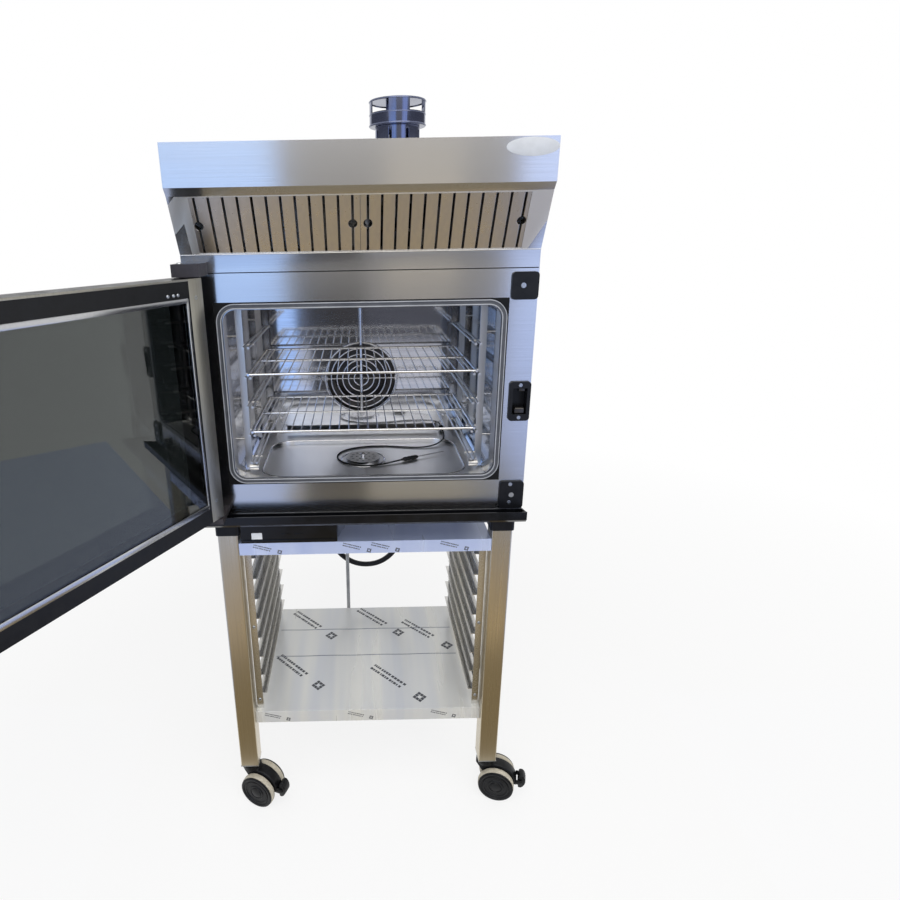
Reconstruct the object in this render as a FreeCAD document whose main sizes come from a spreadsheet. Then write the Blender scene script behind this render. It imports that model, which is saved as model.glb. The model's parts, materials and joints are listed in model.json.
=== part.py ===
# Combi oven with a hood, on a wheeled stand with tray runners. Millimetres, +Z up, +Y to the back.
# The origin is on the floor, below the middle of the oven's front face.
import FreeCAD, Part
import Sketcher
import math
import os
from FreeCAD import Placement, Rotation, Vector

# Driving dimensions.
SIZES = {
    # Stand
    "sheet": 1.5,
    "stand_width": 720.0,
    "stand_depth": 540.0,
    "stand_front": 8.0,
    "caster_height": 125.0,
    "leg_size": 50.0,
    "leg_wall": 2.0,
    "leg_corner": 4.0,
    "leg_length": 725.0,
    "top_drop": 23.0,
    "top_flange": 33.0,
    "shelf_height": 294.0,
    "shelf_flange": 38.0,
    "shelf_inset": 22.0,
    "shelf_rear_gap": 36.0,
    "upright_gap": 3.0,
    "upright_width": 18.0,
    "upright_thickness": 2.0,
    "upright_inset": 14.0,
    "runner_lowest": 343.0,
    "runner_pitch": 60.0,
    "runner_height": 22.0,
    "runner_lip": 9.0,
    "runner_ledge": 18.0,
    "runner_overlap": 6.0,
    # Casters
    "wheel_radius": 50.0,
    "tread_thickness": 8.0,
    "wheel_width": 22.0,
    "rim_flange": 4.0,
    "rim_inset": 1.5,
    "disc_dish": 3.0,
    "dish_radius": 34.0,
    "cap_radius": 13.0,
    "web_thickness": 30.0,
    "web_gap": 2.0,
    "caster_trail": 34.0,
    "axle_radius": 5.0,
    "spindle_radius": 6.0,
    "spindle_length": 14.0,
    "stem_plate": 3.0,
    "head_radius": 25.0,
    "fender_gap": 2.5,
    "fender_thickness": 4.0,
    "pedal_pin_radius": 3.0,
    "pedal_gap": 9.0,
    "pedal_rise": 12.0,
    "pedal_width": 28.0,
    "pedal_height": 44.0,
    "pedal_reach": 15.0,
    "ear_thickness": 5.0,
    "left_caster_turn": -24.0,
    "right_caster_turn": -16.0,
    "rear_caster_turn": -20.0,
    "run_clearance": 0.05,
    "slide_clearance": 0.3,
    # Oven casing
    "side_wall": 75.0,
    "rear_wall": 150.0,
    "roof_wall": 55.0,
    "foot_size": 58.0,
    "foot_height": 60.5,
    "foot_corner": 8.0,
    "base_flange": 15.0,
    "frame_sheet": 2.0,
    "cutout_margin": 16.0,
    # Cavity
    "cavity_width": 600.0,
    "cavity_height": 432.0,
    "cavity_depth": 498.0,
    "cavity_rise": 68.0,
    "cavity_corner": 40.0,
    "mouth_bottom": 23.0,
    "mouth_height": 387.0,
    "mouth_corner": 28.0,
    "lip_rise": 15.0,
    "sump_margin": 45.0,
    "sump_front": 60.0,
    "sump_depth": 270.0,
    "sump_drop": 8.0,
    "sump_corner": 60.0,
    "gasket_width": 12.5,
    "gasket_gap": 2.5,
    "gasket_proud": 5.5,
    "wool_thickness": 28.0,
    "wool_bottom": 18.0,
    "wool_gap": 0.5,
    # Fan, heater and drain
    "fan_room": 100.0,
    "baffle_margin": 45.0,
    "return_slot_margin": 33.0,
    "return_slot_rise": 9.0,
    "return_slot_height": 15.0,
    "fan_height": 165.0,
    "grille_radius": 103.0,
    "grille_wire": 2.2,
    "grille_bar": 1.6,
    "grille_pitch": 16.5,
    "fan_radius": 108.0,
    "fan_depth": 50.0,
    "fan_plate": 2.0,
    "fan_back_gap": 26.0,
    "blade_length": 30.0,
    "fan_hub_radius": 18.0,
    "shaft_radius": 7.0,
    "shaft_gap": 5.0,
    "motor_radius": 58.0,
    "motor_length": 88.0,
    "motor_flange": 150.0,
    "heater_gap": 17.0,
    "heater_wire": 4.0,
    "heater_pitch": 16.0,
    "steam_pipe_radius": 5.0,
    "steam_pipe_length": 369.0,
    "steam_pipe_gap": 8.0,
    "strainer_radius": 45.0,
    "strainer_height": 7.0,
    "strainer_hole": 3.5,
    "outlet_radius": 20.0,
    # Racks
    "rack_back_gap": 29.0,
    "rack_front": 46.0,
    "rack_rim": 3.0,
    "rack_wire": 1.6,
    "lowest_level": 51.0,
    "level_pitch": 69.0,
    "post_inset": 10.0,
    "post_width": 16.0,
    "post_thickness": 5.0,
    "post_rise": 16.0,
    "front_post_place": 87.0,
    "rear_post_gap": 28.0,
    "rail_rod": 3.0,
    "rail_front": 40.0,
    "rail_back_gap": 12.0,
    "rail_spacing": 12.0,
    "knob_radius": 8.0,
    "knob_length": 14.0,
    "knob_height": 16.0,
    # Core probe
    "probe_cable_radius": 2.0,
    "grommet_inset": 20.0,
    "grommet_rise": 10.0,
    "grommet_radius": 7.5,
    "grommet_length": 14.0,
    "probe_handle_radius": 5.5,
    "probe_handle_length": 50.0,
    "probe_needle_radius": 1.6,
    "probe_needle_length": 88.0,
    # Front fittings
    "block_proud": 5.5,
    "block_gap": 2.0,
    "upper_block_height": 57.5,
    "upper_block_drop": 8.0,
    "lower_block_height": 69.0,
    "lower_block_rise": 3.0,
    "keeper_width": 48.0,
    "keeper_height": 91.0,
    "keeper_rise": 220.0,
    "keeper_wall": 3.0,
    "keeper_side_gap": 2.0,
    "keeper_depth": 24.0,
    "keeper_pocket_width": 32.0,
    "keeper_pocket_height": 60.0,
    "plunger_radius": 6.0,
    "plunger_proud": 5.7,
    "gutter_reach": 42.0,
    "gutter_wall": 3.0,
    "gutter_low": 19.0,
    "gutter_overhang": 2.0,
    "gutter_chamfer": 8.0,
    "drawer_gap": 3.0,
    "drawer_width": 235.0,
    "drawer_height": 57.0,
    "drawer_depth": 300.0,
    "drawer_wall": 3.0,
    "drawer_face": 6.0,
    # Door
    "door_side_gap": 5.0,
    "door_top_gap": 5.0,
    "door_rise": 24.0,
    "door_gap": 6.0,
    "door_thickness": 56.0,
    "door_sheet": 2.0,
    "door_stile": 43.0,
    "window_bottom": 35.0,
    "window_top": 37.0,
    "glass_lap": 8.0,
    "glass_thickness": 6.0,
    "door_open_angle": 118.0,
    "hinge_side_inset": 8.0,
    "hinge_depth": 48.0,
    "hinge_pin_radius": 6.0,
    "hinge_pin_length": 25.0,
    "pivot_block": 24.0,
    "pivot_block_height": 40.0,
    "hinge_arm_width": 55.0,
    "hinge_arm_reach": 75.0,
    "hinge_arm_overhang": 1.0,
    "upper_arm_height": 25.0,
    "lower_arm_height": 13.0,
    "hinge_end_gap": 2.0,
    "latch_shaft_radius": 6.0,
    "latch_cam_length": 12.0,
    "latch_cam_width": 8.0,
    "latch_reach": 12.0,
    "latch_cam_thickness": 8.0,
    "handle_hub_radius": 18.0,
    "handle_gap": 2.0,
    "handle_hub_depth": 26.0,
    "handle_width": 26.0,
    "handle_length": 190.0,
    "handle_thickness": 16.0,
    # Hood
    "hood_depth": 560.0,
    "hood_strip": 36.0,
    "hood_overhang": 71.0,
    "filter_overhang": 58.0,
    "filter_top": 147.0,
    "fascia_bottom": 161.0,
    "fascia_height": 79.0,
    "hood_sheet": 1.5,
    "filter_margin": 42.0,
    "filter_lap": 5.0,
    "filter_edge": 1.2,
    "filter_mouth_edge": 3.6,
    "filter_thickness": 14.0,
    "filter_rim": 2.5,
    "slot_width": 5.0,
    "slot_pitch": 28.0,
    "finger_hole_radius": 9.0,
    "hood_fan_radius": 75.0,
    "hood_fan_depth": 55.0,
    "hood_motor_radius": 45.0,
    "hood_motor_height": 75.0,
    "hood_shaft_radius": 5.0,
    "flue_x": 89.0,
    "flue_y": 200.0,
    "flue_neck_radius": 50.0,
    "flue_neck_height": 58.0,
    "flue_wall": 2.5,
    "flue_slot_width": 6.0,
    "flue_slot_margin": 8.0,
    "flue_cap_radius": 62.5,
    "flue_cap_height": 52.0,
    "flue_window_width": 50.0,
    "flue_window_height": 22.0,
    "flue_window_margin": 4.0,
    # Rear fittings and pipework
    "inlet_radius": 13.2,
    "inlet_length": 20.0,
    "inlet_x": 250.0,
    "inlet_rise": 50.0,
    "gland_radius": 15.0,
    "gland_length": 30.0,
    "standpipe_radius": 6.0,
    "standpipe_x": 58.0,
    "standpipe_y": 575.0,
    "standpipe_low": 60.0,
    "hose_radius": 9.0,
    "hose_y": 600.0,
    "hose_stub_radius": 11.0,
    "hose_stub_length": 26.5,
    "hose_left_x": 128.0,
    "hose_right_x": 146.0,
}

RACK_LEVELS = 5
RACK_WIRES = 22
FILTER_SLOTS = 12
FAN_BLADES = 12
LEFT, RIGHT = -1, 1

doc = FreeCAD.newDocument("combi_oven")
sheet = doc.addObject("Spreadsheet::Sheet", "Sizes")
for row, (alias, number) in enumerate(SIZES.items(), start=1):
    sheet.set(f"A{row}", alias)
    sheet.set(f"B{row}", str(number))
    sheet.setAlias(f"B{row}", alias)
doc.recompute()


class Size:
    """A length kept as an expression on the sheet, together with its present value."""

    def __init__(self, text, value):
        self.text = text
        self.value = value

    def __add__(self, other):
        other = as_size(other)
        return Size(f"({self.text} + {other.text})", self.value + other.value)

    def __sub__(self, other):
        other = as_size(other)
        return Size(f"({self.text} - {other.text})", self.value - other.value)

    def __mul__(self, other):
        other = as_size(other)
        return Size(f"({self.text} * {other.text})", self.value * other.value)

    def __truediv__(self, other):
        other = as_size(other)
        return Size(f"({self.text} / {other.text})", self.value / other.value)

    def __radd__(self, other):
        return as_size(other) + self

    def __rsub__(self, other):
        return as_size(other) - self

    def __rmul__(self, other):
        return self * other

    def __neg__(self):
        return self * -1

    def __float__(self):
        return self.value


def as_size(length):
    if isinstance(length, Size):
        return length
    return Size(f"({length})", float(length))


class Sheet:
    """Gives each cell of the sheet by its alias."""

    def __getattr__(self, alias):
        return Size(f"Sizes.{alias}", float(getattr(sheet, alias)))


s = Sheet()
pieces = []


def piece(obj, label):
    """Names a finished sub-part."""
    obj.Label = label
    pieces.append(obj)
    return obj


def bind(obj, prop, length):
    obj.setExpression(prop, as_size(length).text)


def place(obj, x=0, y=0, z=0):
    for axis, length in zip("xyz", (x, y, z)):
        bind(obj, f"Placement.Base.{axis}", length)
    return obj


def box(name, x, y, z):
    """A block between the two ends given for each axis."""
    obj = doc.addObject("Part::Box", name)
    for prop, (low, high) in zip(("Length", "Width", "Height"), (x, y, z)):
        bind(obj, prop, as_size(high) - low)
    return place(obj, x[0], y[0], z[0])


TURNS = {
    "x": Rotation(Vector(0, 1, 0), 90),
    "y": Rotation(Vector(1, 0, 0), -90),
    "z": Rotation(),
}


def rod(name, axis, centre, ends, radius):
    """A round bar along an axis, with its centre on the other two axes in X, Y, Z order."""
    obj = doc.addObject("Part::Cylinder", name)
    obj.Placement = Placement(Vector(), TURNS[axis])
    bind(obj, "Radius", radius)
    bind(obj, "Height", as_size(ends[1]) - ends[0])
    spot = list(centre)
    spot.insert("xyz".index(axis), ends[0])
    return place(obj, *spot)


def ring(name, axis, centre, radius, wire):
    """A closed wire ring about an axis."""
    obj = doc.addObject("Part::Torus", name)
    obj.Placement = Placement(Vector(), TURNS[axis])
    bind(obj, "Radius1", radius)
    bind(obj, "Radius2", wire)
    return place(obj, *centre)


def cut(name, base, *tools):
    obj = doc.addObject("Part::Cut", name)
    obj.Base = base
    obj.Tool = tools[0] if len(tools) == 1 else fuse(f"{name}_tools", *tools)
    return obj


def fuse(name, *shapes):
    obj = doc.addObject("Part::MultiFuse", name)
    obj.Shapes = list(shapes)
    return obj


def group(name, *shapes):
    """Separate solids that share one node."""
    obj = doc.addObject("Part::Compound", name)
    obj.Links = list(shapes)
    return obj


def constrain(sketch, kind, *where, length):
    number = sketch.addConstraint(Sketcher.Constraint(kind, *where, float(as_size(length).value)))
    sketch.setExpression(f"Constraints[{number}]", as_size(length).text)


def fix_point(sketch, geometry, position, x, y):
    constrain(sketch, "DistanceX", -1, 1, geometry, position, length=x)
    constrain(sketch, "DistanceY", -1, 1, geometry, position, length=y)


def step_towards(start, end, radius):
    """The point one radius from start towards end, along whichever axis the edge runs."""
    if abs(float(end[0]) - float(start[0])) > abs(float(end[1]) - float(start[1])):
        sign = 1 if float(end[0]) > float(start[0]) else -1
        return start[0] + sign * radius, start[1]
    sign = 1 if float(end[1]) > float(start[1]) else -1
    return start[0], start[1] + sign * radius


def flat(point):
    return Vector(float(point[0]), float(point[1]), 0)


def draw_loop(sketch, corners):
    """A closed outline, anticlockwise; a corner with a third value is rounded to that radius."""
    corners = [tuple(as_size(value) for value in corner) for corner in corners]
    count = len(corners)
    entries, exits = [], []
    for i, corner in enumerate(corners):
        if len(corner) == 2:
            entries.append(corner)
            exits.append(corner)
        else:
            entries.append(step_towards(corner, corners[i - 1], corner[2]))
            exits.append(step_towards(corner, corners[(i + 1) % count], corner[2]))
    first = sketch.GeometryCount
    ends = entries[1:] + entries[:1]
    sketch.addGeometry([Part.LineSegment(flat(leave), flat(arrive)) for leave, arrive in zip(exits, ends)])
    for i in range(count):
        after = (i + 1) % count
        fix_point(sketch, first + i, 1, *exits[i])
        if len(corners[after]) == 2:
            sketch.addConstraint(Sketcher.Constraint("Coincident", first + i, 2, first + after, 1))
            continue
        fix_point(sketch, first + i, 2, *entries[after])
        round_corner(sketch, entries[after], corners[after], exits[after], first + i, first + after)


def round_corner(sketch, entry, corner, leave, line_before, line_after):
    start, tip, end = flat(entry), flat(corner), flat(leave)
    centre = start + end - tip
    middle = centre + (tip - centre).normalize() * float(corner[2])
    arc = sketch.addGeometry(Part.Arc(start, middle, end))
    drawn = sketch.Geometry[arc]
    begins = (drawn.StartPoint - start).Length < (drawn.EndPoint - start).Length
    sketch.addConstraint(Sketcher.Constraint("Coincident", line_before, 2, arc, 1 if begins else 2))
    sketch.addConstraint(Sketcher.Constraint("Coincident", line_after, 1, arc, 2 if begins else 1))
    constrain(sketch, "Radius", arc, length=corner[2])


def draw_circle(sketch, x, y, radius):
    circle = Part.Circle(flat((as_size(x), as_size(y))), Vector(0, 0, 1), float(as_size(radius)))
    number = sketch.addGeometry(circle)
    fix_point(sketch, number, 3, x, y)
    constrain(sketch, "Radius", number, length=radius)


PLANES = {"xy": ("XY_Plane", "z", False), "xz": ("XZ_Plane", "y", True), "yz": ("YZ_Plane", "x", False)}


def prism(name, plane, loops, ends, circles=()):
    """A padded sketch: its first loop is the outline, and further loops and circles are holes."""
    role, axis, reverse = PLANES[plane]
    body = doc.addObject("PartDesign::Body", name)
    sketch = body.newObject("Sketcher::SketchObject", f"{name}_sketch")
    support = [feature for feature in body.Origin.OriginFeatures if feature.Role == role][0]
    sketch.AttachmentSupport = [(support, "")]
    sketch.MapMode = "FlatFace"
    for loop in loops:
        draw_loop(sketch, loop)
    for circle in circles:
        draw_circle(sketch, *circle)
    pad = body.newObject("PartDesign::Pad", f"{name}_pad")
    pad.Profile = sketch
    bind(pad, "Length", as_size(ends[1]) - ends[0])
    pad.Reversed = reverse
    bind(body, f"Placement.Base.{axis}", ends[0])
    return body


def rectangle(x, y, corner=None):
    points = [(x[0], y[0]), (x[1], y[0]), (x[1], y[1]), (x[0], y[1])]
    if corner is None:
        return points
    return [(px, py, corner) for px, py in points]


def folded_tray(name, x, y, top, flange, thickness):
    """A flat sheet with its four edges folded down."""
    low = top - flange
    outside = box(f"{name}_outside", x, y, (low, top))
    inside = box(f"{name}_inside", (x[0] + thickness, x[1] - thickness),
                 (y[0] + thickness, y[1] - thickness), (low - thickness, top - thickness))
    return cut(name, outside, inside)


def both(half):
    return -half, half


def side_span(side, inner, outer):
    """The span from an inner to an outer distance from the middle, on the left or on the right."""
    return (-outer, -inner) if side == LEFT else (inner, outer)


# Heights and places that many pieces share
leg_top = s.caster_height + s.leg_length
leg_half = s.stand_width / 2
between_legs = leg_half - s.leg_size
stand_back = s.stand_front + s.stand_depth
stand_top_height = leg_top - s.top_drop
base_under = leg_top + s.foot_height
shelf_front = s.stand_front + s.shelf_inset
shelf_back = stand_back - s.shelf_rear_gap
oven_bottom = base_under + s.sheet
cavity_half = s.cavity_width / 2
cavity_floor = oven_bottom + s.cavity_rise
cavity_ceiling = cavity_floor + s.cavity_height
cavity_back = s.frame_sheet + s.cavity_depth
oven_half = cavity_half + s.side_wall
oven_top = cavity_ceiling + s.roof_wall
oven_back = cavity_back + s.rear_wall
baffle_place = cavity_back - s.fan_room
baffle_half = cavity_half - s.baffle_margin
mouth_low = cavity_floor + s.mouth_bottom
mouth_high = mouth_low + s.mouth_height
cutout_half = cavity_half + s.cutout_margin
cutout_low = mouth_low - s.cutout_margin
cutout_high = mouth_high + s.cutout_margin
sump_floor = cavity_floor - s.sump_drop
fan_z = cavity_floor + s.fan_height
leg_middle_x = leg_half - s.leg_size / 2
leg_middle_y = {"front": s.stand_front + s.leg_size / 2, "rear": stand_back - s.leg_size / 2}
keeper_x = oven_half - s.keeper_width / 2
keeper_z = oven_bottom + s.keeper_rise + s.keeper_height / 2
keeper_box_half = s.keeper_pocket_width / 2 + s.keeper_wall
keeper_box_high = s.keeper_pocket_height / 2 + s.keeper_wall
pillar_room = keeper_x - keeper_box_half - s.keeper_side_gap
block_inner = cutout_half + s.block_gap
plunger_x = (block_inner + oven_half) / 2
plunger_z = oven_bottom + s.lower_block_rise + s.lower_block_height / 2
drain_y = s.sump_front + s.sump_depth / 2
SIDES = {"left": LEFT, "right": RIGHT}


# Stand
def square_tube(name, x, y):
    half = s.leg_size / 2
    inner = half - s.leg_wall
    loops = [rectangle((x - half, x + half), (y - half, y + half), s.leg_corner),
             rectangle((x - inner, x + inner), (y - inner, y + inner), s.leg_corner - s.leg_wall)]
    return prism(name, "xy", loops, (s.caster_height, leg_top))


def build_stand():
    for end, y in leg_middle_y.items():
        legs = [square_tube(f"{end}_{word}_tube", side * leg_middle_x, y) for word, side in SIDES.items()]
        piece(group(f"{end}_legs", *legs), f"{end}_legs")
    deck = folded_tray("stand_top", both(between_legs), (s.stand_front, stand_back), stand_top_height,
                       s.top_flange, s.sheet)
    piece(deck, "stand_top")
    shelf = folded_tray("stand_shelf", both(between_legs), (shelf_front, shelf_back), s.shelf_height,
                        s.shelf_flange, s.sheet)
    piece(shelf, "stand_shelf")
    for word, side in SIDES.items():
        piece(tray_ladder(word, side), f"tray_ladder_{word}")


def tray_ladder(word, side):
    """Two uprights on the shelf, with C-shaped tray runners between them."""
    outer = between_legs - s.upright_gap
    inner = outer - s.upright_width
    web = inner + s.runner_overlap
    low, high = s.shelf_height, stand_top_height - s.sheet
    front = shelf_front + s.upright_inset
    back = shelf_back - s.upright_inset
    parts = []
    for end, start in (("front", front), ("rear", back - s.upright_thickness)):
        parts.append(box(f"upright_{word}_{end}", side_span(side, inner, outer),
                         (start, start + s.upright_thickness), (low, high)))
    span = (front + s.upright_thickness, back - s.upright_thickness)
    levels = int(float((high - s.runner_lowest - s.runner_height) / s.runner_pitch)) + 1
    for level in range(levels):
        ledge = s.runner_lowest + level * s.runner_pitch
        crown = ledge + s.runner_height
        name = f"runner_{word}_{level}"
        parts.append(box(f"{name}_web", side_span(side, web - s.sheet, web), span, (ledge, crown)))
        parts.append(box(f"{name}_ledge", side_span(side, web - s.runner_ledge, web), span,
                         (ledge, ledge + s.sheet)))
        parts.append(box(f"{name}_lip", side_span(side, web - s.runner_lip, web), span,
                         (crown - s.sheet, crown)))
    return fuse(f"tray_ladder_{word}", *parts)


# Casters, each modelled with its swivel axis on Z and its wheels trailing towards +X
wheel_inner = s.web_thickness / 2 + s.web_gap
wheel_outer = wheel_inner + s.wheel_width
stem_low = s.caster_height - s.stem_plate
head_top = stem_low - s.slide_clearance
fender_inner = s.wheel_radius + s.fender_gap
fender_outer = fender_inner + s.fender_thickness
head_low = s.wheel_radius + fender_inner
pedal_x = s.caster_trail + fender_outer + s.pedal_gap
pedal_z = s.wheel_radius + s.pedal_rise


def caster_stem(name):
    half = s.leg_size / 2
    plate = box(f"{name}_plate", both(half), both(half), (stem_low, s.caster_height))
    spindle = rod(f"{name}_spindle", "z", (0, 0), (head_top - s.spindle_length, stem_low), s.spindle_radius)
    return fuse(name, plate, spindle)


def pedal_ears(name):
    """Two ears at the trailing end of a housing, on a bridge that reaches in front of both wheels."""
    inner = s.pedal_width / 2 + s.slide_clearance
    outer = inner + s.ear_thickness
    near, far = s.caster_trail + fender_inner, s.caster_trail + fender_outer
    boss = s.pedal_pin_radius * 2
    ears = [box(f"{name}_ear_{word}", (near, pedal_x + boss), side_span(side, inner, outer),
                (pedal_z - boss, pedal_z + boss)) for word, side in SIDES.items()]
    return ears + [box(f"{name}_bridge", (near, far), both(outer), (s.wheel_radius, pedal_z + boss))]


def caster_housing(name, braked):
    half = s.web_thickness / 2
    axle = (s.caster_trail, s.wheel_radius)
    head = rod(f"{name}_head", "z", (0, 0), (head_low, head_top), s.head_radius)
    web_low = s.wheel_radius - s.axle_radius * 3
    trail, half_head = s.caster_trail, s.head_radius / 2
    outline = [(-s.head_radius, head_low), (trail - half_head, web_low), (trail + half_head, web_low),
               (trail + s.head_radius, s.wheel_radius), (trail, head_low), (s.head_radius, head_top),
               (-s.head_radius, head_top)]
    web = prism(f"{name}_web", "xz", [outline], both(half))
    arch = doc.addObject("Part::Common", f"{name}_arch")
    arch.Base = rod(f"{name}_arch_disc", "y", axle, both(half), fender_outer)
    arch.Tool = box(f"{name}_arch_room", (s.caster_trail, pedal_x), both(half),
                    (s.wheel_radius, s.wheel_radius + fender_outer))
    parts = [head, web, arch]
    holes = [rod(f"{name}_spindle_hole", "z", (0, 0),
                 (head_top - s.spindle_length - s.slide_clearance, head_top + s.stem_plate),
                 s.spindle_radius + s.run_clearance),
             rod(f"{name}_axle_hole", "y", axle, both(s.web_thickness), s.axle_radius + s.run_clearance)]
    if braked:
        parts += pedal_ears(name)
        holes.append(rod(f"{name}_pin_hole", "y", (pedal_x, pedal_z), both(s.pedal_width),
                         s.pedal_pin_radius + s.run_clearance))
    return cut(name, fuse(f"{name}_solid", *parts), *holes)


def caster_wheel(name, side):
    """A flanged disc with a dished outer face, and the tread round it."""
    axle = (s.caster_trail, s.wheel_radius)
    core = s.wheel_radius - s.tread_thickness
    span = side_span(side, wheel_inner, wheel_outer)
    seat = side_span(side, wheel_inner, wheel_outer - s.rim_flange)
    face = side_span(side, wheel_outer - s.disc_dish, wheel_outer + s.disc_dish)
    flange = side_span(side, wheel_outer - s.rim_flange, wheel_outer)
    solid = fuse(f"{name}_solid", rod(f"{name}_core", "y", axle, span, core),
                 rod(f"{name}_flange", "y", axle, flange, s.wheel_radius - s.rim_inset))
    dish = cut(f"{name}_dish", rod(f"{name}_dish_outer", "y", axle, face, s.dish_radius),
               rod(f"{name}_cap", "y", axle, face, s.cap_radius))
    bore = rod(f"{name}_bore", "y", axle, side_span(side, 0, wheel_outer - s.disc_dish), s.axle_radius)
    tread = cut(f"{name}_tread", rod(f"{name}_rim", "y", axle, seat, s.wheel_radius),
                rod(f"{name}_rim_hole", "y", axle, seat, core))
    return cut(f"{name}_disc", solid, dish, bore), tread


def caster_wheels(name):
    """Two wheels pressed on one axle."""
    axle = rod(f"{name}_axle", "y", (s.caster_trail, s.wheel_radius), both(wheel_outer - s.disc_dish),
               s.axle_radius)
    left, right = [caster_wheel(f"{name}_{word}", side) for word, side in SIDES.items()]
    return group(name, axle, *left, *right)


def brake_pedal(name):
    """A curved paddle on a pin; its outer face is pressed with a foot."""
    half = s.pedal_width / 2
    boss = s.pedal_pin_radius * 1.5
    low, high = pedal_z - s.pedal_height / 2, pedal_z + s.pedal_height / 2
    near, far = pedal_x - boss, pedal_x + s.pedal_reach
    outline = [(near, low), (pedal_x + boss, low), (far, pedal_z - boss), (far, pedal_z + boss),
               (pedal_x + boss, high), (near, high)]
    paddle = prism(f"{name}_paddle", "xz", [outline], both(half))
    pin = rod(f"{name}_pin", "y", (pedal_x, pedal_z), both(half + s.ear_thickness), s.pedal_pin_radius)
    return fuse(name, paddle, pin)


def set_on_leg(obj, side, end, turn):
    """Puts a caster piece below its leg and turns it about the leg's middle line."""
    obj.Placement = Placement(Vector(), Rotation(Vector(0, 0, 1), 1))
    bind(obj, "Placement.Rotation.Angle", turn)
    return place(obj, side * leg_middle_x, leg_middle_y[end])


def build_casters():
    stems = []
    for end in ("front", "rear"):
        for word, side in SIDES.items():
            corner = f"{end}_{word}"
            turn = getattr(s, f"{word}_caster_turn") if end == "front" else s.rear_caster_turn
            stems.append(place(caster_stem(f"caster_stem_{corner}"), side * leg_middle_x, leg_middle_y[end]))
            braked = end == "front"
            housing = caster_housing(f"caster_housing_{corner}", braked)
            piece(set_on_leg(housing, side, end, turn), f"caster_housing_{corner}")
            wheels = caster_wheels(f"caster_wheels_{corner}")
            piece(set_on_leg(wheels, side, end, turn), f"caster_wheels_{corner}")
            if braked:
                pedal = brake_pedal(f"brake_pedal_{word}")
                piece(set_on_leg(pedal, side, end, turn), f"brake_pedal_{word}")
    piece(group("caster_stems", *stems), "caster_stems")


# Oven casing
def build_casing():
    feet = []
    half = s.foot_size / 2
    for end, y in leg_middle_y.items():
        for word, side in SIDES.items():
            x = side * leg_middle_x
            loop = rectangle((x - half, x + half), (y - half, y + half), s.foot_corner)
            feet.append(prism(f"foot_{end}_{word}", "xy", [loop], (leg_top, base_under)))
    piece(group("oven_feet", *feet), "oven_feet")
    back = oven_back
    pan = folded_tray("base_pan_plain", both(oven_half), (0, back + s.sheet), oven_bottom, s.base_flange,
                      s.sheet)
    drain_hole = rod("base_drain_hole", "z", (0, drain_y), (base_under - s.sheet, oven_bottom + s.sheet),
                     s.outlet_radius + s.slide_clearance)
    piece(cut("base_pan", pan, drain_hole), "base_pan")
    cutout = rectangle(both(cutout_half), (cutout_low, cutout_high))
    keeper_hole = rectangle((keeper_x - keeper_box_half, keeper_x + keeper_box_half),
                            (keeper_z - keeper_box_high, keeper_z + keeper_box_high))
    plunger_hole = (plunger_x, plunger_z, s.plunger_radius + s.run_clearance)
    outline = rectangle(both(oven_half), (oven_bottom, oven_top))
    front = prism("front_frame", "xz", [outline, cutout, keeper_hole], (0, s.frame_sheet), [plunger_hole])
    piece(front, "front_frame")
    sides = [box(f"side_panel_{word}", side_span(side, oven_half - s.sheet, oven_half), (s.frame_sheet, back),
                 (oven_bottom, oven_top)) for word, side in SIDES.items()]
    piece(group("side_panels", *sides), "side_panels")
    roof = box("top_panel", both(oven_half - s.sheet), (s.frame_sheet, back), (oven_top - s.sheet, oven_top))
    piece(roof, "top_panel")
    piece(box("rear_panel", both(oven_half), (back, back + s.sheet), (oven_bottom, oven_top)), "rear_panel")


# Cavity
def rounded_block(name, half, low, high, corner, ends):
    return prism(name, "xz", [rectangle(both(half), (low, high), corner)], ends)


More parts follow.
